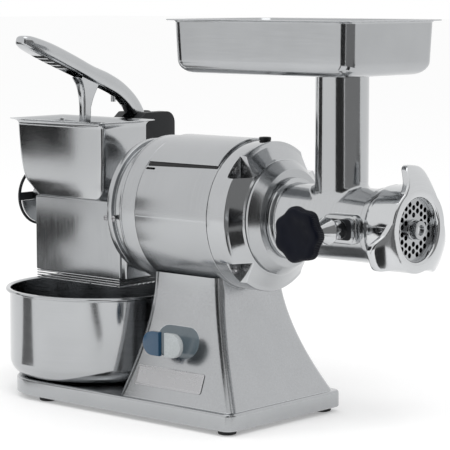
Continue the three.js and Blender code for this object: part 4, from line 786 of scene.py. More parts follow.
def neckLoops(radius, fillet):
    loops = []
    for k in range(-2, 9):
        angle = math.pi / 2 * max(k, 0) / 8
        loop = []
        for j in range(96):
            turn = 2 * math.pi * j / 96
            reach = radius + fillet * (1 - math.sin(angle)) if k >= 0 else radius + fillet
            x, y = reach * math.cos(turn), reach * math.sin(turn)
            surface = math.sqrt(max(head["barrel"] ** 2 - y * y, 30))
            rise = fillet * (1 - math.cos(angle)) if k >= 0 else k * 2.5
            loop.append((head["neckX"] + x, y, surface + rise))
        loops.append(loop)
    top = [(head["neckX"] + radius * math.cos(2 * math.pi * j / 96), radius * math.sin(2 * math.pi * j / 96))
           for j in range(96)]
    loops += [[(x, y, barrelZ[1] - 1) for x, y in top],
              [(head["neckX"] + (x - head["neckX"]) * 0.975, y * 0.975, barrelZ[1]) for x, y in top]]
    return loops


neck = skinned("neck", neckLoops(head["neck"], head["saddle"]))
bossLong, bossTall = (size / 2 for size in head["boss"])
bossLoop = roundRect((head["bossX"] - bossLong, head["bossX"] + bossLong), (-bossTall, bossTall), 9, 8)
boss = pressed("boss", bossLoop, "y", bossFace, 0, 2.5, 4)
join(barrel, neck, boss)
carve(barrel, rod("bore", "x", barrelX[0] + 20, barrelX[1] + 2, head["bore"], count=96),
      rod("plateSeat", "x", 217.4, barrelX[1] + 2, 38.3, count=96),
      rod("tailHole", "x", barrelX[0] - 2, barrelX[0] + 25, 13),
      rod("neckBore", "z", 10, barrelZ[1] + 2, head["neckBore"], (head["neckX"], 0, 0), 72),
      rod("studHole", "y", bossFace - 1, bossFace + 8.3, 8.3, (head["bossX"], 0, 0)))
dress(barrel, "turnedBarrel", "base", ["grinder_barrel"])

ferruleY = span("clamp_ferrule")[1]
clampAt = (head["bossX"], 0, 0)
cone = {"spigot": 8, "neck": 11, "widest": 15.2, "nose": 7.0, "collar": 8.8, "bore": 4.8}
noseEnd = ferruleY[0]
ferrule = turned("clampFerrule", "y", clampAt,
                 [(ferruleY[1], cone["bore"]), (ferruleY[1], cone["spigot"]), (bossFace - 0.3, cone["spigot"]),
                  (bossFace - 0.3, cone["neck"], 0.5), (bossFace - 17, cone["neck"] - 1, 1.0),
                  (bossFace - 19, cone["widest"] - 0.6, 0.8), (bossFace - 23, cone["widest"], 1.6),
                  (bossFace - 41, cone["nose"], 3.0), (noseEnd + 6, cone["nose"] - 0.2, 1.0),
                  (noseEnd + 4, cone["collar"], 1.0), (noseEnd, cone["collar"], 0.8),
                  (noseEnd, cone["bore"])], 72)
bossPad = pressed("bossPad", roundRect((head["bossX"] - 19, head["bossX"] + 17), (-11.5, 11.5), 5, 6), "y",
                  bossFace - 0.28, bossFace + 1, 0.15, 1)
carve(bossPad, rod("padHole", "y", bossFace - 2, bossFace + 2, cone["neck"] + 0.2, clampAt))
dress(bossPad, "blackPlastic", "base")
dress(ferrule, "brightSteel", "base", ["clamp_ferrule"])

knobY = span("clamp_knob")[1]
knob = {"outer": 31, "waist": 27.9, "lobes": 7, "ridges": 84, "ridge": 0.9, "points": 504}
knobBack = noseEnd - 0.3
knobFront = knobY[0]


def knobLoop(scale, y, ridged):
    middle, swing = (knob["outer"] + knob["waist"]) / 2, (knob["outer"] - knob["waist"]) / 2
    loop = []
    for k in range(knob["points"]):
        angle = 2 * math.pi * k / knob["points"]
        radius = scale * (middle + swing * math.cos(knob["lobes"] * angle))
        radius -= ridged * knob["ridge"] * (0.5 + 0.5 * math.cos(knob["ridges"] * angle))
        loop.append((head["bossX"] + radius * math.cos(angle), y, radius * math.sin(angle)))
    return loop


knobSteps = [(0.40, knobBack, 0), (0.84, knobBack, 0), (0.93, knobBack - 0.8, 0), (0.985, knobBack - 2.2, 0.4),
             (1.0, knobBack - 4, 1), (1.0, knobFront + 5, 1), (0.99, knobFront + 3.2, 0.6),
             (0.955, knobFront + 1.4, 0.1), (0.90, knobFront + 0.4, 0), (0.84, knobFront, 0),
             (0.62, knobFront, 0), (0.58, knobFront + 0.6, 0), (0.3, knobFront + 0.9, 0)]
clampKnob = skinned("clampKnob", [knobLoop(*step) for step in knobSteps])
join(clampKnob, rod("stud", "y", -50, knobBack - 2, 4.5, clampAt, 32))
dress(clampKnob, "knobPlastic", "knob", ["clamp_knob"], 40)
print("grinding head made")

# the winged nut
nutX, _, _ = span("ring_nut")
nut = {"radius": 48, "mouth": 35, "lip": 8, "wing": 9, "reach": 70, "sweep": 13, "first": 84, "soft": 2.6}


def curve(points, steps=6):  # a smooth line through given points
    result = []
    for i in range(len(points) - 1):
        p0, p1 = Vector(points[max(i - 1, 0)]), Vector(points[i])
        p2, p3 = Vector(points[i + 1]), Vector(points[min(i + 2, len(points) - 1)])
        for k in range(steps):
            t = k / steps
            value = 0.5 * ((2 * p1) + (p2 - p0) * t + (2 * p0 - 5 * p1 + 4 * p2 - p3) * t * t
                           + (3 * p1 - p0 - 3 * p2 + p3) * t ** 3)
            result.append(tuple(value))
    result.append(tuple(points[-1]))
    return result


wingSide = [(37.7, 29.7), (45, 25.2), (52, 21.4), (60, 18.4), (65.5, 16.0), (69, 11.5), (70, 5), (70, 0)]


def nutReach():  # angle and reach of the nut's outline, once round
    side = curve([(math.atan2(w, r), math.hypot(r, w)) for r, w in wingSide], 5)
    outline = []
    for i in range(3):
        turn = math.radians(nut["first"] + 120 * i)
        outline += [(turn - a, r) for a, r in side] + [(turn + a, r) for a, r in side[::-1]][1:]
        start, end = turn + side[0][0], turn + math.radians(120) - side[0][0]
        outline += [(mix(start, end, k / 10), nut["radius"]) for k in range(1, 10)]
    return outline


def nutLoop(reach, depth):  # reach and depth are rules of the outline's own reach
    loop = []
    for angle, far in nutReach():
        radius = reach(far)
        lean = max(0.0, radius - 46) / (nut["reach"] - 46)
        swept = depth(far) - nut["sweep"] * lean ** 1.4
        loop.append((swept, radius * math.cos(angle), radius * math.sin(angle)))
    return loop


(nutBack, face), mouth, root, soft = nutX, nut["mouth"], nut["radius"], nut["soft"]
quarter = [math.pi / 2 * k / 5 for k in range(6)]
nutLoops = [nutLoop(lambda far, r=r: r, lambda far, x=x: x)
            for x, r in ((face - nut["lip"], 43.4), (face - nut["lip"], mouth), (face - 3.2, mouth),
                         (face - 1.6, mouth + 0.5), (face - 0.3, mouth + 1.9), (face, mouth + 3.2))]
nutLoops += [nutLoop(lambda far, t=t: mix(mouth + 3.2, far - soft, t), lambda far: face)
             for t in (0.25, 0.5, 0.75, 1.0)]
nutLoops += [nutLoop(lambda far, a=a: far - soft * (1 - math.sin(a)),
                     lambda far, a=a: face - soft * (1 - math.cos(a))) for a in quarter[1:]]
nutLoops += [nutLoop(lambda far, a=a: max(root, far - soft * (1 - math.cos(a))),
                     lambda far, a=a: face - nut["wing"] + soft * (1 - math.sin(a))) for a in quarter]
nutLoops += [nutLoop(lambda far, t=t: max(root, mix(far - soft, root, t)),
                     lambda far, t=t: face - nut["wing"] - t) for t in (0.3, 0.6, 0.85, 1.0)]
nutLoops += [nutLoop(lambda far, r=r: r, lambda far, x=x: x)
             for x, r in ((nutBack + 9, root), (nutBack + 6, root - 0.6), (nutBack + 1, 45.9), (nutBack, 45.2),
                          (nutBack, 43.4))]
ringNut = skinned("ringNut", nutLoops, wrap=True)
dress(ringNut, "turnedHead", "nut", ["ring_nut"])

plateX, _, _ = span("grinding_plate")
plateSizes = {"discRadius": 38.0, "discThick": 8.0, "holeRadius": 3.0, "pitch": 8.0, "columns": 11, "rows": 11,
              "nearest": 15.0, "farthest": 31.6}


def perforatedDisc(sizes):
    tree, size = sizedTree("perforatedDisc", sizes)
    disc = cylinder(tree, Vertices=144, Radius=size["discRadius"], Depth=size["discThick"])
    disc = placed(tree, disc, z=mathNode(tree, "MULTIPLY", size["discThick"], 0.5))
    across = mathNode(tree, "MULTIPLY", size["pitch"], math.sin(math.pi / 3))
    wide = mathNode(tree, "MULTIPLY", across, mathNode(tree, "SUBTRACT", size["columns"], 1.0))
    tall = mathNode(tree, "MULTIPLY", size["pitch"], mathNode(tree, "SUBTRACT", size["rows"], 1.0))
    grid = made(tree, "GeometryNodeMeshGrid", None, i0=wide, i1=tall, i2=size["columns"], i3=size["rows"])
    spot = made(tree, "GeometryNodeInputPosition")
    parts = addNode(tree, "ShaderNodeSeparateXYZ", None, Vector=spot).outputs
    column = mathNode(tree, "ROUND", mathNode(tree, "DIVIDE", parts[0], across))
    odd = mathNode(tree, "FLOORED_MODULO", column, 2.0)
    half = mathNode(tree, "MULTIPLY", odd, mathNode(tree, "MULTIPLY", size["pitch"], 0.5))
    shift = vector(tree, Y=half)
    grid = made(tree, "GeometryNodeSetPosition", None, Geometry=grid, Offset=shift)
    away = addNode(tree, "ShaderNodeVectorMath", {"operation": "LENGTH"}, i0=spot).outputs["Value"]
    outside = mathNode(tree, "ADD", mathNode(tree, "LESS_THAN", away, size["nearest"]),
                       mathNode(tree, "GREATER_THAN", away, size["farthest"]))
    grid = made(tree, "GeometryNodeDeleteGeometry", {"domain": "POINT"}, Geometry=grid,
                Selection=mathNode(tree, "GREATER_THAN", outside, 0.5))
    drill = cylinder(tree, Vertices=20, Radius=size["holeRadius"], Depth=60.0)
    drills = realized(tree, copies(tree, Points=grid, Instance=drill))
    pierced = cutAway(tree, disc, drills)
    return grown("grindingPlate", tree, sizes, pierced, "plateSteel", "x", (plateX[0], 0, 0))


grindingPlate = perforatedDisc(plateSizes)
plateFace = plateX[0] + plateSizes["discThick"]
hubRadius, faceRadius, boreRadius = 11.5, 10.2, 6.0
join(grindingPlate, turned("plateHub", "x", (0, 0, 0),
                           [(plateX[0] + 1, 0), (plateX[0] + 1, hubRadius), (plateFace + 1.4, hubRadius, 0.5),
                            (plateFace + 1.8, faceRadius + 0.2, 0.4), (plateX[1], faceRadius, 0.9),
                            (plateX[1], 0)], 72))
carve(grindingPlate, rod("plateBore", "x", plateX[0] - 1, plateX[1] + 1, boreRadius))
dress(grindingPlate, "plateSteel", "base", ["grinding_plate"])
print("ring nut and plate made")

# the tray on the neck
trayX, trayY, trayZ = span("feed_tray")
tray = {"lip": 3.5, "draft": 2.5, "corner": 16, "round": 15, "sheet": 1.5, "spigot": 22, "fit": 0.3}
trayFloor = trayZ[0] + tray["spigot"] + 0.3
trayTop = trayZ[1]
wallFoot = tray["lip"] + tray["draft"]
outerWall = [(wallFoot + tray["round"] + 30, trayFloor, tray["corner"])]
outerWall += [(wallFoot + tray["round"] * (1 - math.sin(a)), trayFloor + tray["round"] * (1 - math.cos(a)),
               tray["corner"]) for a in (math.pi / 2 * k / 7 for k in range(8))]
outerWall += [(mix(wallFoot, tray["lip"] + 0.8, t), mix(trayFloor + tray["round"], trayTop - 3.4, t),
               tray["corner"]) for t in (0.25, 0.5, 0.75, 1)]
rim = [(3.2, trayTop - 1.9, tray["corner"] - 1), (1.7, trayTop - 1.6, 9), (0.4, trayTop - 1.4, 5),
       (0.0, trayTop - 0.9, 4), (0.3, trayTop - 0.2, 4), (1.2, trayTop, 5), (2.8, trayTop, 9),
       (4.2, trayTop - 0.4, 13)]
innerWall = [(inset + tray["sheet"], z + tray["sheet"] * (1 if i < 4 else 0.4), max(corner - 1.5, 4))
             for i, (inset, z, corner) in enumerate(outerWall)]
feedTray = skinned("feedTray", [levelLoop(trayX, trayY, inset, corner, z, 8)
                                for inset, z, corner in outerWall + rim + innerWall[::-1]])
spigotAt = (head["neckX"], 0, 0)
spigotRadius = head["neckBore"] - tray["fit"]
join(feedTray, rod("spigot", "z", trayZ[0], trayFloor + 1.0, spigotRadius, spigotAt, 96))
throatRadius = spigotRadius - 1.4
carve(feedTray, turned("throat", "z", spigotAt,
                       [(trayZ[0] - 1, 0), (trayZ[0] - 1, throatRadius), (trayFloor, throatRadius, 1.5),
                        (trayFloor + 3, spigotRadius + 1.2), (trayFloor + 3, 0)], 96))
dress(feedTray, "brushedPan", "tray", ["feed_tray"])
print("feed tray made")

# the grater: flange, chute, skin, outlet and hopper
(flangeBack, flangeFront), _, _ = span("grater_flange")
flange = {"spigot": 77, "rim": 82, "back": 73, "quillFit": 24.3, "shaft": 12.5}
graterFlange = turned("graterFlange", "x", (0, 0, 0),
                      [(flangeFront, flange["shaft"]), (flangeFront, flange["spigot"], 0.6),
                       (flangeBack + 16, flange["spigot"], 0.6), (flangeBack + 16, flange["rim"], 0.8),
                       (flangeBack + 8, flange["rim"], 1.4), (flangeBack + 8, flange["back"], 1.0),
                       (flangeBack, flange["back"], 1.6), (flangeBack, flange["quillFit"]),
                       (flangeBack + 10, flange["quillFit"]), (flangeBack + 10, flange["shaft"])], 160)
dress(graterFlange, "turnedMotor", "base", ["grater_flange"])

chuteX, chuteY, chuteZ = span("grater_housing")
panelX, panelY, panelZ = span("front_panel")
drumX, _, _ = span("grater_drum")
chute = {"wall": 4, "quill": 24, "round": 3, "hubHole": 16.8, "shaft": 9.5, "noseFloor": -28}
chuteRight = flangeBack - 0.3
chuteBody = pressed("graterHousing", roundRect((chuteX[0], chuteRight), chuteY, chute["round"], 4), "z",
                    chuteZ[0], panelZ[1], 0.8, 2)
wellEnd = drumX[1] + 3
wellY = (chuteY[0] + chute["wall"], chuteY[1] - chute["wall"])
carve(chuteBody, bar("well", (chuteX[0] + chute["wall"], wellEnd), wellY, (chuteZ[0] - 1, chuteZ[1] + 1)),
      bar("lowerWell", (wellEnd - 1, chuteRight - chute["wall"]), wellY, (chuteZ[0] - 1, chute["noseFloor"])))
join(chuteBody, rod("quill", "x", wellEnd, flangeBack + 9, chute["quill"], count=72))
carve(chuteBody, rod("quillBore", "x", wellEnd - 2, flangeBack + 10, chute["shaft"]),
      rod("hubHole", "x", chuteX[0] - 1, chuteX[0] + 5, chute["hubHole"], count=64))
dress(chuteBody, "castBase", "base", ["grater_housing"])

frontPanel = pressed("frontPanel", roundRect(panelX, panelZ, 2, 4), "y", panelY[0], panelY[1], 0.5, 3)
dress(frontPanel, "brushedPanel", "base", ["front_panel"])

outX, outY, outZ = span("outlet_collar")
outletThick, outletWall = 2.6, 3
outlet = pressed("outletCollar", roundRect(outX, outY, 3, 4), "z", outZ[1] - outletThick, outZ[1], 0.8, 2)
carve(outlet, bar("outletHole", (outX[0] + outletWall, outX[1] - outletWall),
                  (outY[0] + outletWall, outY[1] - outletWall), (outZ[0] - 1, outZ[1] + 1), 2))
dress(outlet, "blackPlastic", "base", ["outlet_collar"])

hopX, hopY, hopZ = span("grater_hopper")
hopper = {"lip": 7, "wall": 3, "corner": 7, "foot": (-332, -219), "neck": 0.93}
mouthX = (hopX[0] + hopper["lip"], hopX[1] - hopper["lip"])
mouthY = (hopY[0] + hopper["lip"], hopY[1] - hopper["lip"])
hopperRise = hopZ[1] - hopZ[0]
footLeft, footRight = hopper["foot"]
hopperSides = curve([(0, footLeft, footRight), (0.1, footLeft - 11, footRight + 3),
                     (0.22, mouthX[0] + 12, mouthX[1] - 1), (0.45, mouthX[0] + 5, mouthX[1]),
                     (0.72, mouthX[0] + 1.5, mouthX[1]), (hopper["neck"], *mouthX)], 5)
outside = [levelLoop((left, right), mouthY, 0, hopper["corner"], hopZ[0] + hopperRise * share)
           for share, left, right in hopperSides]
inside = [levelLoop((left, right), mouthY, hopper["wall"], hopper["corner"] - 3, hopZ[0] + hopperRise * share)
          for share, left, right in hopperSides]
lipRise = hopperRise * (1 - hopper["neck"])
lipOut = [(0.7, 0.35), (2.3, 0.62), (4.6, 0.78), (6.5, 0.84), (7.0, 0.92), (6.5, 1.0), (4.4, 0.97), (2.0, 0.86),
          (0.0, 0.7), (-2.0, 0.4)]
lip = [levelLoop(mouthX, mouthY, -reach, hopper["corner"] - max(reach, 0) * 0.45,
                 hopZ[1] - lipRise * (1 - rise)) for reach, rise in lipOut]
graterHopper = skinned("graterHopper", outside + lip + inside[::-1], wrap=True)
carve(graterHopper, rod("hubNotch", "x", mouthX[0] - 20, drumX[0] - 4, chute["hubHole"], count=64),
      rod("shaftNotch", "x", drumX[1] - 20, mouthX[1] + 20, flange["quillFit"], count=64))
dress(graterHopper, "polishedCasting", "base", ["grater_hopper"])

guardX, guardY, guardZ = span("wire_guard")
guardMiddle = tuple((low + high) / 2 for low, high in (guardX, guardY, guardZ))
guardSizes = {"wires": 11, "ties": 4, "length": guardX[1] - guardX[0], "width": guardY[1] - guardY[0] - 2.6,
              "wireRadius": 0.85, "tieRadius": 1.2, "rails": 3, "railPitch": 2.9}


def wireGrille(sizes):
    tree, size = sizedTree("wireGrille", sizes)

    def rack(count, spread, length, radius, turn, swap):
        wire = cylinder(tree, Vertices=12, Radius=radius, Depth=length)
        wire = made(tree, "GeometryNodeTransform", None, Geometry=wire, Rotation=turn)
        first = mathNode(tree, "MULTIPLY", spread, -0.5)
        gap = mathNode(tree, "DIVIDE", spread, mathNode(tree, "SUBTRACT", count, 1.0))
        start = vector(tree, **{swap: first})
        step = vector(tree, **{swap: gap})
        line = addNode(tree, "GeometryNodeMeshLine", None, Count=count, Offset=step)
        tree.links.new(start, line.inputs["Start Location"])
        return copies(tree, Points=line.outputs[0], Instance=wire)

    along = rack(size["wires"], size["width"], size["length"], size["wireRadius"], (0, math.pi / 2, 0), "Y")
    tieSpread = mathNode(tree, "MULTIPLY", size["length"], 0.96)
    tieLength = mathNode(tree, "ADD", size["width"], mathNode(tree, "MULTIPLY", size["wireRadius"], 2.0))
    across = rack(size["ties"], tieSpread, tieLength, size["tieRadius"], (math.pi / 2, 0, 0), "X")
    both = addNode(tree, "GeometryNodeJoinGeometry", None, Geometry=along)
    tree.links.new(across, both.inputs[0])
    for side in (-0.5, 0.5):
        climb = mathNode(tree, "MULTIPLY", mathNode(tree, "SUBTRACT", size["rails"], 1.0), size["railPitch"])
        rails = rack(size["rails"], climb, size["length"], size["wireRadius"], (0, math.pi / 2, 0), "Z")
        rails = placed(tree, rails, y=mathNode(tree, "MULTIPLY", size["width"], side),
                       z=mathNode(tree, "ADD", mathNode(tree, "MULTIPLY", climb, 0.5), size["railPitch"]))
        tree.links.new(rails, both.inputs[0])
    solid = realized(tree, both.outputs[0])
    return grown("wireGuard", tree, sizes, solid, "brightSteel", "z", guardMiddle)


dress(wireGrille(guardSizes), "brightSteel", "base", ["wire_guard"])

drumSizes = {"rows": 16, "rings": 11, "length": drumX[1] - drumX[0], "radius": 27.4,
             "toothRadius": 2.3, "toothHigh": 2.8, "bore": 10.3}


def toothedDrum(sizes):  # staggered rows of raised cutting teeth, with the tree's z along the shaft
    tree, size = sizedTree("toothedDrum", sizes)
    body = cylinder(tree, Vertices=96, Radius=size["radius"], Depth=size["length"])
    count = mathNode(tree, "MULTIPLY", size["rows"], size["rings"])
    points = made(tree, "GeometryNodeMeshLine", None, Count=count)
    index = made(tree, "GeometryNodeInputIndex")
    row = mathNode(tree, "FLOOR", mathNode(tree, "DIVIDE", index, size["rings"]))
    ring = mathNode(tree, "FLOORED_MODULO", index, size["rings"])
    stagger = mathNode(tree, "MULTIPLY", mathNode(tree, "FLOORED_MODULO", row, 2.0), 0.5)
    step = mathNode(tree, "ADD", mathNode(tree, "ADD", ring, stagger), 0.25)
    share = mathNode(tree, "DIVIDE", step, size["rings"])
    high = mathNode(tree, "MULTIPLY", mathNode(tree, "SUBTRACT", share, 0.5), size["length"])
    angle = mathNode(tree, "MULTIPLY", mathNode(tree, "DIVIDE", row, size["rows"]), 2 * math.pi)
    spot = vector(tree, X=mathNode(tree, "MULTIPLY", mathNode(tree, "COSINE", angle), size["radius"]),
                  Y=mathNode(tree, "MULTIPLY", mathNode(tree, "SINE", angle), size["radius"]), Z=high)
    points = made(tree, "GeometryNodeSetPosition", None, Geometry=points, Position=spot)
    tooth = made(tree, "GeometryNodeMeshCone", None, Vertices=9, Radius_Top=0.7,
                 Radius_Bottom=size["toothRadius"], Depth=size["toothHigh"])
    lean = vector(tree, Y=math.pi / 2, Z=angle)
    teeth = realized(tree, copies(tree, Points=points, Instance=tooth, Rotation=lean))
    both = addNode(tree, "GeometryNodeMeshBoolean", {"operation": "UNION"}, i1=teeth)
    tree.links.new(body, both.inputs[1])
    shaft = cylinder(tree, Vertices=48, Radius=size["bore"], Depth=400.0)
    middle = (drumX[0] + sizes["length"] / 2, 0, 0)
    return grown("graterDrum", tree, sizes, cutAway(tree, both.outputs[0], shaft), "brightSteel", "x", middle)


dress(toothedDrum(drumSizes), "brightSteel", "rotor", ["grater_drum"])

capSizes = {"count": 2, "pitch": 13.0, "headRadius": 2.6, "slotDepth": 1.2, "washerRadius": 3.4,
            "washerThick": 1.0}
capRow = {"start": -165.5, "out": 81.4, "height": -9}
for side, axis in ((-1, "-y"), (1, "y")):
    capScrews = screwRow(f"capScrews{(side + 3) // 2}", capSizes, "screwSteel", axis,
                         (capRow["start"], side * capRow["out"], capRow["height"]))
    dress(capScrews, "screwSteel", "base")
print("grater body made")

# the loose bowl
bowlX, bowlY, bowlZ = span("collecting_bowl")
bowlAt = ((bowlX[0] + bowlX[1]) / 2, (bowlY[0] + bowlY[1]) / 2, bowlZ[0])
bowlHigh = bowlZ[1] - bowlZ[0]
bowl = {"radius": 113, "rim": (bowlX[1] - bowlX[0]) / 2, "sheet": 1.2, "corner": 20}
insideBowl = bowl["radius"] - bowl["sheet"]
bowlPiece = turned("collectingBowl", "z", bowlAt,
                   [(0, 0), (0, bowl["radius"], bowl["corner"]), (bowlHigh - 4.2, bowl["radius"], 1.5),
                    (bowlHigh - 4.0, bowl["rim"] - 0.6, 1.0), (bowlHigh - 2.2, bowl["rim"], 0.8),
                    (bowlHigh, bowl["rim"] - 1.2, 1.0), (bowlHigh, insideBowl, 2.0),
                    (bowl["sheet"], insideBowl, bowl["corner"] - bowl["sheet"]), (bowl["sheet"], 0)], 192, 10)
dress(bowlPiece, "spunBowl", "bowl", ["collecting_bowl"])
print("bowl made")

# the lever, its presser and its hinge
pinAt = tuple((low + high) / 2 for low, high in span("hinge_pin"))
leverStations = [(-102, 200, 7, 12), (-100.5, 199.6, 10.5, 16), (-97, 198.5, 13.5, 20), (-86, 195, 18, 26),
                 (-58, 185, 21, 32), (-20, 170, 21, 31), (12, 157, 20, 27), (40, 147, 21, 22),
                 (66, 135, 20, 20), (87, 118.5, 20, 20), (99, 102, 21, 20), (103, 88, 22, 20)]


def leverSection(station, ahead, shrink=0.0, drop=0.0):
    y, z, thick, width = station
    along = Vector((0, ahead[0], ahead[1])).normalized()
    up = Vector((0, -along.z, along.y))
    half, tall = width / 2 - shrink, thick / 2 - shrink
    loop = []
    for k in range(28):
        angle = -math.pi / 2 + 2 * math.pi * k / 28
        c, s = math.cos(angle), math.sin(angle)
        power = 0.42 if s < 0 else 0.72
        u = half * math.copysign(abs(c) ** power, c)
        v = tall * math.copysign(abs(s) ** power, s) - (drop if s < -0.2 else 0)
        loop.append(tuple(Vector((pinAt[0] + u, y, z)) + up * v))
    return loop


def leverLoops(stations, shrink=0.0, drop=0.0):
    loops = []
    for i, station in enumerate(stations):
        before, after = stations[max(i - 1, 0)], stations[min(i + 1, len(stations) - 1)]
        loops.append(leverSection(station, (after[0] - before[0], after[1] - before[1]), shrink, drop))
    return loops


spine = curve(leverStations, 5)
leverArm = skinned("leverArm", leverLoops(spine))
eye = turned("eye", "x", pinAt, [(-10, 0), (-10, 14, 1.2), (10, 14, 1.2), (10, 0)], 64)
stemLevels = [(62.4, 10.5, 14, 8), (108, 10.5, 14, 8), (118, 10.9, 16, 8.8), (126, 11.4, 20, 10),
              (132, 12.2, 24, 11), (138, 13, 29, 12), (144, 14.4, 35, 12.6), (149, 15.6, 42, 12.6),
              (156, 16.4, 50, 12)]
stem = skinned("stem", [levelLoop((pinAt[0] - wide / 2, pinAt[0] + wide / 2),
                                  (shift - deep / 2, shift + deep / 2), 0, min(wide, deep) * 0.32, z, 5)
                        for z, wide, deep, shift in curve(stemLevels, 4)])
join(leverArm, eye, stem, rod("stopPeg", "z", 119, 145, 3, (pinAt[0], 58, 0), 24))
lever = {"grip": (18, 29), "arm": (33, 45), "wall": 3.5, "open": 6, "ribs": 5, "ribHalf": 1.2,
         "ribSpan": (-86, -20), "pin": 5.3}
hollows = [skinned(name, leverLoops(spine[first:last], lever["wall"], lever["open"]))
           for name, (first, last) in (("gripHollow", lever["grip"]), ("armHollow", lever["arm"]))]
for i in range(1, lever["ribs"] + 1):
    y = mix(*lever["ribSpan"], i / (lever["ribs"] + 1))
    ribY = (y - lever["ribHalf"], y + lever["ribHalf"])
    carve(hollows[0], bar(f"rib{i}", (pinAt[0] - 25, pinAt[0] + 25), ribY, (100, 260)))
pinLine = (0, pinAt[1], pinAt[2])
carve(leverArm, *hollows, rod("pinHole", "x", pinAt[0] - 30, pinAt[0] + 30, lever["pin"], pinLine))
dress(leverArm, "polishedCasting", "lever", ["lever_arm"], 42)

pressX, pressY, pressZ = span("presser_plate")
presser = pressed("presserPlate", roundRect(pressX, pressY, 6, 6), "z", pressZ[0], pressZ[1], 1.4, 4)
dress(presser, "brightSteel", "lever", ["presser_plate"])

blockX, blockY, blockZ = span("hinge_block")
lipFront = hopY[1] + 0.6
block = {"corner": 15, "slot": 10.8, "underLip": hopZ[1] - 8, "step": 84, "stepDeep": 7}
stepZ = blockZ[1] - block["stepDeep"]
blockOutline = softened([(blockY[0], blockZ[0], 1), (blockY[1], blockZ[0], block["corner"]),
                         (blockY[1], blockZ[1], block["corner"]), (block["step"] + 9, blockZ[1], 6),
                         (block["step"], stepZ, 4), (lipFront, stepZ, 2),
                         (lipFront, block["underLip"], 0.4), (blockY[0], block["underLip"], 0.4)], 8)
hingeBlock = pressed("hingeBlock", blockOutline, "x", blockX[0], blockX[1], 1.2, 3)
carve(hingeBlock, bar("blockSlot", (pinAt[0] - block["slot"], pinAt[0] + block["slot"]),
                      (blockY[0] - 1, blockY[1] + 1), (pinAt[2] - 16, blockZ[1] + 1)),
      rod("blockPin", "x", blockX[0] + 3, blockX[1] - 3, lever["pin"], pinLine))
dress(hingeBlock, "blackPlastic", "base", ["hinge_block"])
print("lever made")

# the drum's end hub, with its two half plates, and the handle
hubX, _, _ = span("drum_end_hub")
handX, handY, _ = span("end_handle")
barrelHalf, plateHalf, journalHalf = 16.5, 35, 8.8
drumHub = turned("drumEndHub", "x", (0, 0, 0),
                 [(hubX[0], 0), (hubX[0], barrelHalf, 1.0), (hubX[1], barrelHalf, 0.5), (hubX[1], 0)], 72)
for name, start, end, top in (("seatPlate", chuteX[0] - 5.3, chuteX[0] - 0.3, 3.7),
                              ("nosePlate", hubX[0], hubX[0] + 1.5, -5)):
    disc = turned(name, "x", (0, 0, 0),
                  [(start, 0), (start, plateHalf, 0.4), (end, plateHalf, 0.4), (end, 0)], 96)
    carve(disc, bar("half", (start - 5, end + 5), (-60, 60), (top, 60)))
    join(drumHub, disc)
carve(drumHub, rod("journal", "x", hubX[0] + 8, hubX[1] + 5, journalHalf))
dress(drumHub, "castBase", "base", ["drum_end_hub"])

handleRadius = (handY[1] - handY[0]) / 2
endHandle = turned("endHandle", "x", (0, 0, 0),
                   [(handX[0], handleRadius - 3, 0.8), (handX[0], handleRadius, 1.2),
                    (handX[1], handleRadius, 1.2), (handX[1], handleRadius - 3, 0.8)], 120)
join(endHandle, pressed("handleBar", roundRect((-handleRadius + 2, handleRadius - 2), (-5, 5), 1, 2), "x",
                        handX[0] + 0.1, handX[1] - 0.1, 0.7, 2))
dress(endHandle, "blackPlastic", "handle", ["end_handle"])
print("drum end made")


def staged(name, points, finish):
    mesh = bpy.data.meshes.new(name)
    mesh.from_pydata(points, [], [tuple(range(len(points)))])
    card = linked(name, mesh)
    mesh.materials.append(finish)
    return card


def seenDirectly(tree):
    path = addNode(tree, "ShaderNodeLightPath").outputs
    total = mathNode(tree, "ADD", path["Is Camera Ray"], path["Is Glossy Ray"])
    return mathNode(tree, "MINIMUM", mathNode(tree, "ADD", total, path["Is Transmission Ray"]), 1.0)


studio = {"floor": (0.80, 0.80, 0.80), "lift": 0.25, "ambient": 0.9, "key": 22, "fill": 8, "glow": 2.2}
paleFloor, floorTree = bareMaterial("paleFloor")
matt = addNode(floorTree, "ShaderNodeBsdfDiffuse", None, Color=(*studio["floor"], 1))
lift = addNode(floorTree, "ShaderNodeEmission", None, Color=(1, 1, 1, 1),
               Strength=mathNode(floorTree, "MULTIPLY", seenDirectly(floorTree), studio["lift"]))
floorSum = addNode(floorTree, "ShaderNodeAddShader", None, i0=matt.outputs[0], i1=lift.outputs[0])
addNode(floorTree, "ShaderNodeOutputMaterial", None, Surface=floorSum.outputs[0])
staged("floor", [(-30, -30, 0), (30, -30, 0), (30, 30, 0), (-30, 30, 0)], paleFloor)

world = bpy.data.worlds.new("studio")
bpy.context.scene.world = world
world.use_nodes = True
world.node_tree.nodes.clear()
strength = ranged(world.node_tree, seenDirectly(world.node_tree), 0.0, 1.0, studio["ambient"], 1.0)
sky = addNode(world.node_tree, "ShaderNodeBackground", None, Color=(1, 1, 1, 1), Strength=strength)
addNode(world.node_tree, "ShaderNodeOutputWorld", None, Surface=sky.outputs[0])


def cardFinish(name, level):
    material, tree = bareMaterial(name)
    glow = addNode(tree, "ShaderNodeEmission", None, Color=(1, 1, 1, 1), Strength=level)
    addNode(tree, "ShaderNodeOutputMaterial", None, Surface=glow.outputs[0])
    return material


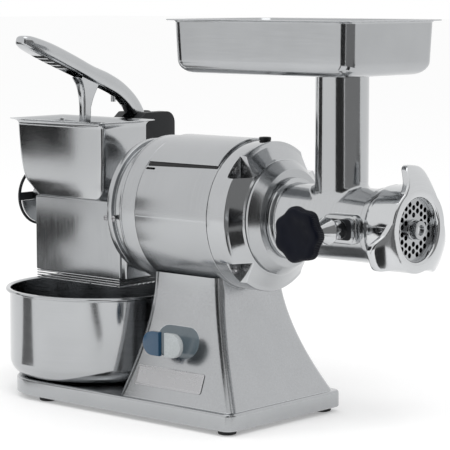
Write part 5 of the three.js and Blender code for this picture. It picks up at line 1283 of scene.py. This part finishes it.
# dark cards round the model, seen only in the metal: middle and half of the turn, distance, heights, level
cards = [
    ("cardLeftLow", (-61.2, 13.5), 1.1, (0.0, 0.132), 0.02),
    ("cardLeftHigh", (-63.2, 14.4), 1.1, (0.214, 0.45), 0.03),
    ("cardBehindCamera", (36, 16), 1.1, (0.0, 1.3), 0.04),
    ("cardRight", (84, 29), 1.0, (0.0, 1.0), 0.28),
    ("cardRightLow", (108, 9), 0.99, (0.0, 0.3), 0.16),
]


def reflectedOnly(card):
    card.visible_camera = False
    card.visible_diffuse = False
    card.visible_shadow = False
    card.visible_transmission = False


for cardName, (middle, half), far, (low, high), level in cards:
    turns = [math.radians(middle + half * k / 4) for k in range(-4, 5)]
    for k in range(8):
        here, there = [(far * math.sin(a), -far * math.cos(a)) for a in turns[k:k + 2]]
        reflectedOnly(staged(f"{cardName}{k}", [(*here, low), (*there, low), (*there, high), (*here, high)],
                             cardFinish(cardName, level)))
# dark wedges on the floor carry the bowl's bands down to its foot: from and to of the turn, near and far, level
wedges = [("wedgeLeft", (-68, -54), (0.42, 1.1), 0.2), ("wedgeMiddle", (18, 26), (0.36, 1.1), 0.12),
          ("wedgeRight", (66, 86), (0.5, 1.1), 0.03)]
for wedgeName, turnsOf, (near, far), level in wedges:
    first, last = (math.radians(a) for a in turnsOf)
    corners = [(r * math.sin(a), -r * math.cos(a), 0.0005)
               for r, a in ((near, first), (far, first), (far, last), (near, last))]
    reflectedOnly(staged(wedgeName, corners, cardFinish(wedgeName, level)))
reflectedOnly(staged("cardOverhead", [(-0.6, -0.5, 1.6), (0.5, -0.5, 1.6), (0.5, 0.4, 1.6), (-0.6, 0.4, 1.6)],
                     cardFinish("cardOverhead", studio["glow"])))


def softBox(name, spot, aim, size, power):
    light = bpy.data.lights.new(name, "AREA")
    light.shape = "RECTANGLE"
    light.size, light.size_y = size
    light.energy = power
    lamp = linked(name, light)
    lamp.location = spot
    lamp.rotation_euler = (Vector(aim) - Vector(spot)).to_track_quat("-Z", "Y").to_euler()
    lamp.visible_glossy = False
    return lamp


softBox("keyBox", (1.6, -1.2, 2.4), (0, 0, 0.2), (1.2, 0.9), studio["key"])
softBox("fillBox", (-1.8, -1.6, 1.6), (0, 0, 0.2), (0.9, 0.9), studio["fill"])

print("scene made")
